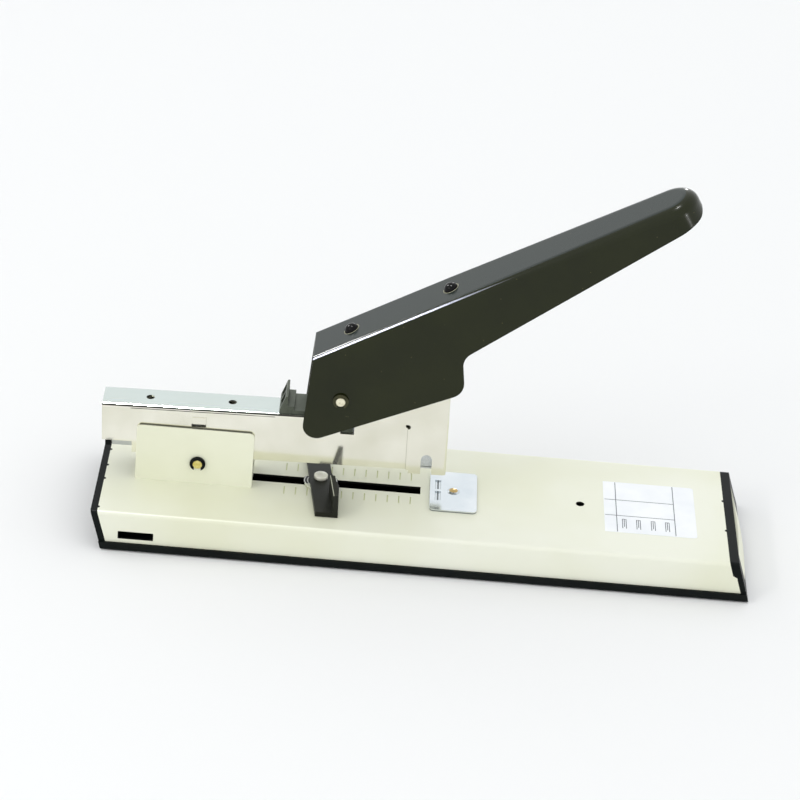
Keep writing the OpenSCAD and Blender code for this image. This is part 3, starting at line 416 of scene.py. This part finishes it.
def blackEnamel():
    # Stoved enamel on pressed steel: olive black and glossy, with faint specks; a pale, half metallic
    # highlight is painted along the upper bends and a lighter sheen on the flat top, and a low index keeps
    # its sheen as weak as the photograph's
    skin = startFinish(
        "blackEnamel",
        ("#171B05", "#1F2308"),
        cloudMm=35,
        grainMm=0.8,
        rough=(0.16, 0.24),
        deepMm=0.0015,
        softMm=0.7,
        ior=1.24,
        coat=0.22,
        coatRough=0.05,
    )
    tree = skin["tree"]
    sockets = {"Vector": skin["place"], "Scale": 1 / (enamelSpecks["spacing"] * mm)}
    speck = addNode(tree, "ShaderNodeTexVoronoi", {"feature": "F1"}, sockets, "Distance")
    sockets = {
        "Value": speck,
        "From Min": enamelSpecks["core"],
        "From Max": enamelSpecks["rim"],
        "To Min": enamelSpecks["strength"],
        "To Max": 0.0,
    }
    dot = addNode(tree, "ShaderNodeMapRange", None, sockets, "Result")
    paintOver(skin, dot, 1.0, enamelSpecks["colour"])

    local = localPlace(skin, handleFrame())
    along = addNode(tree, "ShaderNodeSeparateXYZ", None, {"Vector": local}, "X")
    sockets = {
        "Value": along,
        "From Min": handleBendHighlight["fadeFrom"] * mm,
        "From Max": handleBendHighlight["fadeTo"] * mm,
        "To Min": 1.0,
        "To Max": 0.0,
    }
    fade = addNode(tree, "ShaderNodeMapRange", None, sockets, "Result")
    # Painted highlight along the upper bends, fading out towards the tip
    sockets = {"Value": inBox(skin, local, *handleBendHighlight["box"]), "Value_001": fade}
    bendHighlight = addNode(tree, "ShaderNodeMath", times, sockets, "Value")
    paintOver(skin, bendHighlight, 1.0, handleBendHighlight["colour"])
    sockets = {"Value": bendHighlight, "Value_001": handleBendHighlight["metallic"]}
    shine = addNode(tree, "ShaderNodeMath", times, sockets, "Value")
    tree.links.new(shine, skin["shader"].inputs["Metallic"])
    # Painted sheen on the flat top
    paintMarks(skin, local, handleTopSheen)
    return skin["material"]


# What shows on the arm, in its own frame: the shade in its upper bend and a broken line under it, the
# seam of the nose housing, the edges of a window, and the cooler top
armMarks = {
    "bendLine": {"box": ((-42.0, 7.05, 25.3), (108.0, 7.7, 25.9)), "strength": 0.95, "colour": "#15140F"},
    "brokenLine": {
        "box": ((-29.4, 7.35, 24.55), (32.6, 7.7, 24.95)),
        "strength": 1.5,
        "colour": "#2A2620",
        "broken": True,
    },
    "seam": {"box": ((89.55, 7.5, 2.7), (89.9, 7.7, 25.2)), "strength": 0.4, "colour": "#96957C"},
    "windowTop": {"box": ((-2.6, 7.5, 22.0), (3.3, 7.7, 22.35)), "strength": 0.4, "colour": "#96957C"},
    "windowEnd": {"box": ((3.0, 7.5, 17.3), (3.3, 7.7, 22.35)), "strength": 0.4, "colour": "#96957C"},
    "top": {"box": ((-45.0, -0.1, 25.95), (110.0, 7.2, 26.6)), "strength": 0.85, "colour": "#CBD6D4"},
}


def nickelSheet():
    # Bright nickel on cold rolled sheet: pale and warm, with faint smudges, a grain that runs along the
    # arm, and a dark line in the upper bend
    skin = startFinish(
        "nickelSheet",
        ("#E0DECD", "#F1EFE2"),
        cloudMm=22,
        grainMm=0.9,
        rough=(0.05, 0.14),
        deepMm=0.001,
        metallic=0.92,
        stretch=(0.08, 1, 1),
    )
    paintMarks(skin, localPlace(skin, armFrame()), armMarks)
    return skin["material"]


def glossBlack():
    # Black lacquer on the rivets' domes: almost black, with small sharp highlights and, like the enamel,
    # a low index
    colours = ("#030303", "#070708")
    skin = startFinish(
        "glossBlack", colours, cloudMm=3, grainMm=0.6, rough=(0.05, 0.1), deepMm=0.0005, ior=1.24
    )
    return skin["material"]


def footRubber():
    # Soft matt rubber with a dusty bloom
    colours = ("#20201E", "#30302C")
    skin = startFinish(
        "footRubber", colours, cloudMm=3, grainMm=0.8, rough=(0.7, 0.9), deepMm=0.02, ior=1.5
    )
    return skin["material"]


def paleNylon():
    # Moulded nylon, waxy and warm white
    colours = ("#F0EEDC", "#F7F5E9")
    skin = startFinish(
        "paleNylon", colours, cloudMm=3, grainMm=0.6, rough=(0.28, 0.42), deepMm=0.006, ior=1.53
    )
    return skin["material"]


def labelPaper():
    # Coated label paper: cool white, with faint fibres under a soft sheen
    colours = ("#E9ECF0", "#F2F4F6")
    skin = startFinish(
        "labelPaper", colours, cloudMm=12, grainMm=0.7, rough=(0.34, 0.48), deepMm=0.004, ior=1.5
    )
    return skin["material"]


def labelInk():
    # Matt grey-blue printing ink, a little uneven
    colours = ("#3A4048", "#5A6068")
    skin = startFinish(
        "labelInk", colours, cloudMm=1, grainMm=0.4, rough=(0.5, 0.7), deepMm=0.001, ior=1.5
    )
    return skin["material"]


def plainMetal(name, colours, rough, cloudMm=8, stretch=(1, 1, 1), metallic=1.0):
    # Bare, plated or stained metal: a fine drawn grain, duller where it was touched
    skin = startFinish(
        name, colours, cloudMm, grainMm=0.5, rough=rough, deepMm=0.004, stretch=stretch, metallic=metallic
    )
    return skin["material"]


materials = {
    "cream_steel": creamPowderCoat(),
    "black_plastic": blackAbs(),
    "foot_rubber": footRubber(),
    # Zinc plate on turned and pressed steel: cool, pale and half bright
    "zinc_steel": plainMetal("zincPlate", ("#B9BDBE", "#D2D4D2"), (0.24, 0.42)),
    "chromed_steel": chromedAnvil(),
    "rivet_brass": platedRivet(),
    # Turned brass, hardly tarnished: a pale yellow
    "pin_brass": plainMetal("pinBrass", ("#D9C672", "#EFE2A0"), (0.2, 0.36), 2),
    "nickel_steel": nickelSheet(),
    # Black oxide on a stamped ring: almost black, with a dry sheen
    "blackened_steel": plainMetal("blackOxide", ("#17181A", "#26282A"), (0.3, 0.45), 3),
    # Drawn spring wire, left bare: grey and half bright
    "spring_steel": plainMetal("springWire", ("#AEB3B6", "#CDD0D2"), (0.2, 0.36), 4),
    "pale_plastic": paleNylon(),
    # Galvanised and flattened wire: a little paler than the springs
    "staple_wire": plainMetal("stapleWire", ("#B5BABD", "#D8DBDC"), (0.2, 0.36), 6),
    "black_enamel": blackEnamel(),
    # Phosphated pressed steel: dark grey and dry
    "dark_steel": plainMetal("phosphatedSteel", ("#3A3D3E", "#54585A"), (0.36, 0.52), 6),
    # Hardened and ground steel: mid grey, with marks that run round the roller and down the blade
    "hardened_steel": plainMetal("groundSteel", ("#9BA0A3", "#BCC0C2"), (0.2, 0.34), 6, stretch=(1, 6, 1)),
}

# Nodes whose finish isn't quite that of the others in their slot
creamPlate = creamSheet()
ownFinishes = {
    "front_panel": creamPlate,
    "hinge_bracket": creamPlate,
    "dome_rivets": glossBlack(),
    # Zinc plate that has yellowed: pale and warm
    "pivot_pin": plainMetal("warmZinc", ("#D9D3B8", "#EFEAD2"), (0.22, 0.36), 2),
    "depth_stop_washer": rimmedWasher(),
    "depth_stop": wornSlider(),
    # Stamped spring ring, stained with oil: dark olive, hardly bright
    "pivot_clip": plainMetal("stainedClip", ("#33331F", "#45442C"), (0.3, 0.45), 3, metallic=0.6),
    # Its flat tops catch a greenish grey sheen in the photograph, as rubbed blackened steel would
    "latch": plainMetal("latchSteel", ("#4A4F45", "#5C6156"), (0.34, 0.5), 5, metallic=0.8),
}
paper = labelPaper()
ink = labelInk()

# A node takes its own finish where it has one, and its slot's elsewhere
for entry in frame["record"]["subparts"]:
    cadNode = nodes[entry["node"]]
    cadNode.data.materials.clear()
    cadNode.data.materials.append(ownFinishes.get(entry["node"], materials[entry["material_slot"]]))
print("materials made:", len(bpy.data.materials))


def link(name, mesh, material, body):
    # A finished piece: its one material and the body that it rides on
    made = bpy.data.objects.new(name, mesh)
    bpy.context.scene.collection.objects.link(made)
    mesh.materials.clear()
    mesh.materials.append(material)
    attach(made, body)
    return made


def meshFrom(name, verts, faces, place=origin):
    # Points in millimetres become a mesh in metres, at its place
    mesh = bpy.data.meshes.new(name)
    mesh.from_pydata([tuple(v) for v in verts], [], faces)
    mesh.transform(place @ Matrix.Scale(mm, 4))
    mesh.update()
    return mesh


def prism(outline, low, high):
    # Straight prism over an outline of points in X and Y
    count = len(outline)
    verts = [(x, y, low) for x, y in outline] + [(x, y, high) for x, y in outline]
    faces = [tuple(reversed(range(count))), tuple(range(count, 2 * count))]
    faces += [(i, (i + 1) % count, count + (i + 1) % count, count + i) for i in range(count)]
    return verts, faces


def joined(solids):
    # Several solids of points and faces as one
    verts, faces = [], []
    for points, sides in solids:
        faces += [tuple(len(verts) + i for i in side) for side in sides]
        verts += points
    return verts, faces


def lathe(profile, sides):
    # Turns a line of radius and height round the upright axis; it starts and ends on the axis
    verts = [(0, 0, profile[0][1])]
    for radius, up in profile[1:-1]:
        for i in range(sides):
            a = 2 * math.pi * i / sides
            verts.append((radius * math.cos(a), radius * math.sin(a), up))
    verts.append((0, 0, profile[-1][1]))
    rings = len(profile) - 2
    last = len(verts) - 1
    faces = []
    for i in range(sides):
        j = (i + 1) % sides
        faces.append((0, 1 + j, 1 + i))
        for k in range(rings - 1):
            low, high = 1 + k * sides, 1 + (k + 1) * sides
            faces.append((low + i, low + j, high + j, high + i))
        faces.append((1 + (rings - 1) * sides + i, 1 + (rings - 1) * sides + j, last))
    return verts, faces


def shadeSmooth(made, down):
    # Smooth all over, apart from the flat underside
    for face in made.data.polygons:
        face.use_smooth = face.normal.dot(down) < flatFoot


# Label: a bare card with a ruled table and four small generic signs of a staple
label = {
    "rear": 215.8,
    "front": 255.9,
    "half": 20.3,
    "rearCorner": 0.4,
    "frontCorner": 1.6,
    "cornerSteps": 6,
    "thick": 0.12,
    "margin": 0.4,
    "lineWidth": 0.32,
    "inkThick": 0.03,
    "columns": (221.2, 246.6),
    "rows": (-7.0, 5.6),
    "signs": (224.4, 230.6, 237.0, 243.2),
    "signY": (-17.0, -9.6),
    "signWide": 1.9,
    "signLine": 0.3,
    "signMiddle": 1.2,
}


def cardOutline():
    # One radius for the two rear corners and one for the two front corners
    rear, front, half = label["rear"], label["front"], label["half"]
    atRear, atFront = label["rearCorner"], label["frontCorner"]
    corners = [
        (front - atFront, half - atFront, 0, atFront),
        (rear + atRear, half - atRear, 90, atRear),
        (rear + atRear, -half + atRear, 180, atRear),
        (front - atFront, -half + atFront, 270, atFront),
    ]
    points = []
    for x, y, start, radius in corners:
        for i in range(label["cornerSteps"] + 1):
            a = math.radians(start + 90 * i / label["cornerSteps"])
            points.append((x + radius * math.cos(a), y + radius * math.sin(a)))
    return points


def labelBars():
    # Every inked bar as its lowest and highest x and y: the table's lines, then the signs
    half = label["lineWidth"] / 2
    reach = label["half"] - label["margin"]
    bars = [(x - half, x + half, -reach, reach) for x in label["columns"]]
    start, end = label["rear"] + label["margin"], label["columns"][-1]
    bars += [(start, end, y - half, y + half) for y in label["rows"]]
    line = label["signLine"]
    low, high = label["signY"]
    for x in label["signs"]:
        near, far = x - label["signWide"] / 2, x + label["signWide"] / 2
        bars.append((near, far, high - line, high))
        bars.append((near, near + line, low, high - line))
        bars.append((far - line, far, low, high - line))
        bars.append((x - line / 2, x + line / 2, low + label["signMiddle"], high - line))
    return bars


def makeLabel():
    cardTop = part["baseTop"] + label["thick"]
    card = meshFrom("labelCard", *prism(cardOutline(), part["baseTop"], cardTop), baseFrame())
    link("labelCard", card, paper, "root")
    solids = []
    for x0, x1, y0, y1 in labelBars():
        solids.append(prism([(x0, y0), (x1, y0), (x1, y1), (x0, y1)], cardTop, cardTop + label["inkThick"]))
    rules = meshFrom("labelRules", *joined(solids), baseFrame())
    link("labelRules", rules, ink, "root")
    print("label made")


makeLabel()


def startTree(name, inputs):
    # A Geometry Nodes tree with its named inputs, each a kind of socket and a value; the values come back
    # by the sockets' identifiers, which is how a modifier is set
    tree = bpy.data.node_groups.new(name, "GeometryNodeTree")
    tree.interface.new_socket("Geometry", in_out="OUTPUT", socket_type="NodeSocketGeometry")
    values = {}
    for title, (kind, value) in inputs.items():
        socket = tree.interface.new_socket(title, in_out="INPUT", socket_type="NodeSocket" + kind)
        values[socket.identifier] = value
    return tree, tree.nodes.new("NodeGroupInput"), tree.nodes.new("NodeGroupOutput"), values


def endTree(tree, given, result, points, shape):
    # Puts the shape on every point, and makes all of it real geometry in its finish
    sockets = {"Points": points, "Instance": shape}
    spread = addNode(tree, "GeometryNodeInstanceOnPoints", None, sockets, "Instances")
    real = addNode(tree, "GeometryNodeRealizeInstances", None, {"Geometry": spread}, "Geometry")
    sockets = {"Geometry": real, "Material": given.outputs["Finish"]}
    dressed = addNode(tree, "GeometryNodeSetMaterial", None, sockets, "Geometry")
    tree.links.new(dressed, result.inputs[0])


def evaluated(name, tree, values, material, body, place):
    # Runs the tree once on an empty mesh, and keeps the plain mesh that comes out
    holder = bpy.data.objects.new(name + "Holder", bpy.data.meshes.new(name + "Holder"))
    bpy.context.scene.collection.objects.link(holder)
    modifier = holder.modifiers.new("build", "NODES")
    modifier.node_group = tree
    for identifier, value in values.items():
        modifier[identifier] = value
    graph = bpy.context.evaluated_depsgraph_get()
    mesh = bpy.data.meshes.new_from_object(holder.evaluated_get(graph), depsgraph=graph)
    mesh.name = name
    holder.modifiers.clear()
    bpy.data.objects.remove(holder)
    mesh.transform(place)
    mesh.update()
    return link(name, mesh, material, body)


# Strip of separate glued staples, which stands on the rail
staples = {
    "count": 73,
    "pitch": 0.7,
    "thickShare": 0.9,
    "front": 104.6,
    "foot": 4.2,
    "crown": 13.0,
    "leg": 12.5,
    "wire": 0.6,
    "bend": 0.9,
    "bendSteps": 3,
    "looseness": 0.04,
    "seed": 7,
}


def stapleOutline():
    # One staple seen along the strip, outside and inside: a crown with two small bends and two legs
    half, top, wire = staples["crown"] / 2, staples["leg"], staples["wire"]
    bend, steps = staples["bend"], staples["bendSteps"]
    left = [((-half, 0), (-half + wire, 0))]
    for step in range(steps + 1):
        a = math.radians(180 - 90 * step / steps)
        turned = [(r * math.cos(a), r * math.sin(a)) for r in (bend, bend - wire)]
        left.append(tuple((-half + bend + x, top - bend + y) for x, y in turned))
    right = [((-o[0], o[1]), (-i[0], i[1])) for o, i in reversed(left)]
    return left + right


def oneStaple():
    rings = stapleOutline()
    thick = staples["pitch"] * staples["thickShare"]
    verts, faces = [], []
    for outer, inner in rings:
        verts += [(0, *outer), (0, *inner), (thick, *inner), (thick, *outer)]
    for i in range(len(rings) - 1):
        a, b = 4 * i, 4 * i + 4
        for k in range(4):
            faces.append((a + k, a + (k + 1) % 4, b + (k + 1) % 4, b + k))
    faces += [(3, 2, 1, 0), tuple(len(verts) - 4 + k for k in range(4))]
    return bpy.data.objects.new("oneStaple", meshFrom("oneStaple", verts, faces))


def makeStaples():
    # Staples in a row, each sunk by a small random amount
    single = oneStaple()
    wire = materials["staple_wire"]
    inputs = {
        "Count": ("Int", staples["count"]),
        "Pitch": ("Float", staples["pitch"] * mm),
        "Looseness": ("Float", -staples["looseness"] * mm),
        "Seed": ("Int", staples["seed"]),
        "Staple": ("Object", single),
        "Finish": ("Material", wire),
    }
    tree, given, result, values = startTree("stapleStrip", inputs)
    step = addNode(tree, "ShaderNodeCombineXYZ", None, {"X": given.outputs["Pitch"]}, "Vector")
    sockets = {"Count": given.outputs["Count"], "Offset": step}
    line = addNode(tree, "GeometryNodeMeshLine", {"mode": "OFFSET"}, sockets, "Mesh")
    sockets = {"Min_001": 0.0, "Max_001": given.outputs["Looseness"], "Seed": given.outputs["Seed"]}
    shift = addNode(tree, "FunctionNodeRandomValue", {"data_type": "FLOAT"}, sockets, "Value_001")
    drop = addNode(tree, "ShaderNodeCombineXYZ", None, {"Z": shift}, "Vector")
    moved = addNode(tree, "GeometryNodeSetPosition", None, {"Geometry": line, "Offset": drop}, "Geometry")
    staple = addNode(tree, "GeometryNodeObjectInfo", None, {"Object": given.outputs["Staple"]}, "Geometry")
    endTree(tree, given, result, moved, staple)

    start = staples["front"] - staples["count"] * staples["pitch"]
    place = armFrame() @ Matrix.Translation(Vector((start, 0, staples["foot"])) * mm)
    strip = evaluated("glued_staples", tree, values, wire, "arm", place)
    bpy.data.objects.remove(single)
    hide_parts("staple_strip")
    print("staples made:", len(strip.data.polygons), "faces")


makeStaples()


# Domes over the handle's two rivets, as high as they stand in the photograph, and the thin pale rings round
# them
domes = {
    "places": (16.2, 62.8),
    "foot": 23.5,
    "radius": 3.02,
    "high": 2.7,
    "sides": 40,
    "steps": 9,
    "ringInner": 3.1,
    "ringOuter": 3.55,
    "ringHigh": 0.12,
    "ringSides": 48,
}


def makeDomeRings():
    # A band half way between the inner and the outer radius, as wide as what is between them
    ringFinish = plainMetal("wornEnamel", ("#7C7B66", "#98967E"), (0.3, 0.5), 2, metallic=0.3)
    nearPivot, nearTip = domes["places"]
    inputs = {
        "Inner": ("Float", domes["ringInner"] * mm),
        "Outer": ("Float", domes["ringOuter"] * mm),
        "First": ("Float", nearPivot * mm),
        "Gap": ("Float", (nearTip - nearPivot) * mm),
        "Finish": ("Material", ringFinish),
    }
    tree, given, result, values = startTree("domeRing", inputs)
    halved = {"operation": "MULTIPLY_ADD"}
    sockets = {"Value": given.outputs["Inner"], "Value_001": 0.5, "Value_002": 0.0}
    middle = addNode(tree, "ShaderNodeMath", halved, sockets, "Value")
    sockets = {"Value": given.outputs["Outer"], "Value_001": 0.5, "Value_002": middle}
    radius = addNode(tree, "ShaderNodeMath", halved, sockets, "Value")
    sockets = {"Resolution": domes["ringSides"], "Radius": radius}
    circle = addNode(tree, "GeometryNodeCurvePrimitiveCircle", {"mode": "RADIUS"}, sockets, "Curve")
    sockets = {"Value": given.outputs["Outer"], "Value_001": given.outputs["Inner"]}
    wide = addNode(tree, "ShaderNodeMath", {"operation": "SUBTRACT"}, sockets, "Value")
    sockets = {"Width": wide, "Height": domes["ringHigh"] * mm}
    band = addNode(tree, "GeometryNodeCurvePrimitiveQuadrilateral", {"mode": "RECTANGLE"}, sockets, "Curve")
    sockets = {"Curve": circle, "Profile Curve": band, "Fill Caps": True}
    ring = addNode(tree, "GeometryNodeCurveToMesh", None, sockets, "Mesh")
    start = addNode(tree, "ShaderNodeCombineXYZ", None, {"X": given.outputs["First"]}, "Vector")
    step = addNode(tree, "ShaderNodeCombineXYZ", None, {"X": given.outputs["Gap"]}, "Vector")
    sockets = {"Count": len(domes["places"]), "Start Location": start, "Offset": step}
    line = addNode(tree, "GeometryNodeMeshLine", {"mode": "OFFSET"}, sockets, "Mesh")
    endTree(tree, given, result, line, ring)

    place = handleFrame() @ Matrix.Translation(Vector((0, 0, part["handleUp"])) * mm)
    evaluated("dome_rings", tree, values, ringFinish, "handle", place)
    print("dome rings made")


def makeDomeCaps():
    profile = [(0, 0)]
    for step in range(domes["steps"]):
        a = math.radians(90 * step / domes["steps"])
        profile.append((domes["radius"] * math.cos(a), domes["high"] * math.sin(a)))
    profile.append((0, domes["high"]))
    verts, faces = lathe(profile, domes["sides"])
    solids = [([(vx + x, vy, vz + domes["foot"]) for vx, vy, vz in verts], faces) for x in domes["places"]]
    mesh = meshFrom("dome_caps", *joined(solids), handleFrame())
    made = link("dome_caps", mesh, ownFinishes["dome_rivets"], "handle")
    shadeSmooth(made, handleFrame().to_3x3() @ Vector((0, 0, -1)))
    print("dome caps made")


makeDomeRings()
makeDomeCaps()


# Cap of the depth stop's screw: a short skirt, a rounded edge and a low crown
cap = {
    "x": 91.5,
    "foot": 20.25,
    "radius": 3.0,
    "skirt": 1.2,
    "crown": 1.0,
    "edge": 0.35,
    "edgeSteps": 4,
    "crownSteps": 6,
    "sides": 40,
}


def makeCap():
    radius, edge, skirt = cap["radius"], cap["edge"], cap["skirt"]
    profile = [(0, 0), (radius, 0), (radius, skirt)]
    for step in range(1, cap["edgeSteps"] + 1):
        a = math.radians(90 * step / cap["edgeSteps"])
        profile.append((radius - edge + edge * math.cos(a), skirt + edge * math.sin(a)))
    for step in range(1, cap["crownSteps"]):
        share = 1 - step / cap["crownSteps"]
        up = skirt + edge + (cap["crown"] - edge) * (1 - share * share)
        profile.append(((radius - edge) * share, up))
    profile.append((0, skirt + cap["crown"]))
    place = baseFrame() @ Matrix.Translation(Vector((cap["x"], 0, cap["foot"])) * mm)
    mesh = meshFrom("slider_cap", *lathe(profile, cap["sides"]), place)
    made = link("slider_cap", mesh, materials["pale_plastic"], "depth_stop")
    shadeSmooth(made, Vector((0, 0, -1)))
    print("cap made")


makeCap()


# Screws that hold the tray to the cover, seen from below: low heads with a cross recess
trayScrews = {
    "rearX": 34.0,
    "frontX": 245.0,
    "sideY": 30.0,
    "headRadius": 2.6,
    "headHigh": 0.9,
    "edge": 0.2,
    "shaftRadius": 1.5,
    "length": 10.0,
    "crossLong": 2.9,
    "crossWide": 0.75,
    "crossDeep": 0.6,
    "cutterProud": 0.5,
    "sides": 32,
}


def recessedScrew():
    # One screw, with the cutter that its recess is made by
    size = trayScrews
    profile = [
        (0, 0),
        (size["headRadius"] - size["edge"], 0),
        (size["headRadius"], size["edge"]),
        (size["headRadius"], size["headHigh"]),
        (size["shaftRadius"], size["headHigh"]),
        (size["shaftRadius"], size["length"]),
        (0, size["length"]),
    ]
    screw = bpy.data.objects.new("oneScrew", meshFrom("oneScrew", *lathe(profile, size["sides"])))
    half, wide = size["crossLong"] / 2, size["crossWide"] / 2
    outline = [(wide, wide), (wide, half), (-wide, half), (-wide, wide), (-half, wide), (-half, -wide)]
    outline += [(-x, -y) for x, y in outline]
    shape = prism(outline, -size["cutterProud"], size["crossDeep"])
    cutter = bpy.data.objects.new("crossCutter", meshFrom("crossCutter", *shape))
    for made in (screw, cutter):
        bpy.context.scene.collection.objects.link(made)
    cross = screw.modifiers.new("cross", "BOOLEAN")
    cross.object = cutter
    cross.operation = "DIFFERENCE"
    cross.solver = "EXACT"
    return screw, cutter


def makeTrayScrews():
    # A screw on each corner of a grid that has nothing but corners
    screw, cutter = recessedScrew()
    rear, front = trayScrews["rearX"], trayScrews["frontX"]
    zinc = materials["zinc_steel"]
    inputs = {
        "Between ends": ("Float", (front - rear) * mm),
        "Between sides": ("Float", 2 * trayScrews["sideY"] * mm),
        "Screw": ("Object", screw),
        "Finish": ("Material", zinc),
    }
    tree, given, result, values = startTree("screwsInCorners", inputs)
    sockets = {
        "Size X": given.outputs["Between ends"],
        "Size Y": given.outputs["Between sides"],
        "Vertices X": 2,
        "Vertices Y": 2,
    }
    corners = addNode(tree, "GeometryNodeMeshGrid", None, sockets, "Mesh")
    one = addNode(tree, "GeometryNodeObjectInfo", None, {"Object": given.outputs["Screw"]}, "Geometry")
    endTree(tree, given, result, corners, one)

    place = baseFrame() @ Matrix.Translation(Vector(((rear + front) / 2, 0, 0)) * mm)
    screws = evaluated("cross_screws", tree, values, zinc, "root", place)
    for made in (screw, cutter):
        bpy.data.objects.remove(made)
    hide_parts("tray_screws")
    print("screws made:", len(screws.data.polygons), "faces")


makeTrayScrews()


# Floor and light: a pale light tent, a little brighter round its foot
stage = {
    "floor": "#EEEEEE",
    "floorHalf": 8000.0,
    "floorRough": 0.9,
    "floorGloss": 0.1,
    "sky": "#FAFCFD",
    "horizon": 1.13,
    "zenith": 1.09,
}

# Lamps that draw the bends: from what point each is seen in the enamel, which way and how far off it
# stands, the way of its long side, its size and its watts; a lamp for gloss only draws a small highlight
# and doesn't light the surfaces round it
lamps = {
    "creaseStrip": {
        "seenFrom": (-34.0, -12.0, 98.0),
        "way": (-0.645, -0.476, 0.596),
        "far": 1800.0,
        "longWay": (0.249, -0.870, -0.425),
        "size": (110.0, 950.0),
        "power": 4.5,
        "colour": "#FFFCF8",
        "glossOnly": False,
    },
    "rearLeft": {
        "seenFrom": (-38.7, -1.3, 98.0),
        "way": (-0.68, 0.44, 0.57),
        "far": 1600.0,
        "longWay": (0.0, 0.0, 1.0),
        "size": (200.0, 200.0),
        "power": 12.0,
        "colour": "#FFFFFF",
        "glossOnly": True,
    },
    "rear": {
        "seenFrom": (-36.6, 0.6, 98.8),
        "way": (0.13, 0.97, 0.17),
        "far": 1600.0,
        "longWay": (0.0, 0.0, 1.0),
        "size": (140.0, 140.0),
        "power": 1.4,
        "colour": "#FFFFFF",
        "glossOnly": True,
    },
    "tipTop": {
        "seenFrom": (92.0, -9.0, 171.0),
        "way": (-0.257, 0.028, 0.966),
        "far": 1600.0,
        "longWay": (1.0, 0.0, 0.2),
        "size": (160.0, 160.0),
        "power": 18.0,
        "colour": "#FFFFFF",
        "glossOnly": True,
    },
    "tipSide": {
        "seenFrom": (96.0, -10.5, 168.0),
        "way": (0.802, -0.597, 0.06),
        "far": 1600.0,
        "longWay": (0.0, 0.0, 1.0),
        "size": (140.0, 140.0),
        "power": 6.0,
        "colour": "#FFFFFF",
        "glossOnly": True,
    },
}


def makeFloor():
    half = stage["floorHalf"]
    corners = [(-half, -half, 0), (half, -half, 0), (half, half, 0), (-half, half, 0)]
    mesh = meshFrom("floor", corners, [(0, 1, 2, 3)])
    floor = bpy.data.objects.new("floor", mesh)
    bpy.context.scene.collection.objects.link(floor)
    made = bpy.data.materials.new("paleFloor")
    made.use_nodes = True
    shader = made.node_tree.nodes["Principled BSDF"]
    shader.inputs["Base Color"].default_value = linear(stage["floor"])
    shader.inputs["Roughness"].default_value = stage["floorRough"]
    shader.inputs["Specular IOR Level"].default_value = stage["floorGloss"]
    mesh.materials.append(made)


def makeSky():
    world = bpy.data.worlds.new("studio")
    bpy.context.scene.world = world
    world.use_nodes = True
    tree = world.node_tree
    back = tree.nodes["Background"]
    back.inputs["Color"].default_value = linear(stage["sky"])
    way = addNode(tree, "ShaderNodeTexCoord", out="Generated")
    up = addNode(tree, "ShaderNodeSeparateXYZ", None, {"Vector": way}, "Z")
    sockets = {"Value": up, "To Min": stage["horizon"], "To Max": stage["zenith"]}
    glow = addNode(tree, "ShaderNodeMapRange", None, sockets, "Result")
    tree.links.new(glow, back.inputs["Strength"])


def makeLamps():
    for name, lamp in lamps.items():
        data = bpy.data.lights.new(name, "AREA")
        data.shape = "RECTANGLE"
        data.size, data.size_y = (side * mm for side in lamp["size"])
        data.energy = lamp["power"]
        data.color = linear(lamp["colour"])[:3]
        made = bpy.data.objects.new(name, data)
        made.visible_diffuse = not lamp["glossOnly"]
        bpy.context.scene.collection.objects.link(made)
        way = Vector(lamp["way"]).normalized()
        longWay = Vector(lamp["longWay"])
        longWay = (longWay - longWay.dot(way) * way).normalized()
        turn = Matrix((longWay.cross(way), longWay, way)).transposed().to_4x4()
        place = Vector(lamp["seenFrom"]) * mm + lamp["far"] * mm * way
        made.matrix_world = Matrix.Translation(place) @ turn


makeFloor()
makeSky()
makeLamps()
makeCamera()
bpy.context.scene.view_settings.view_transform = "Standard"
print("stage made")
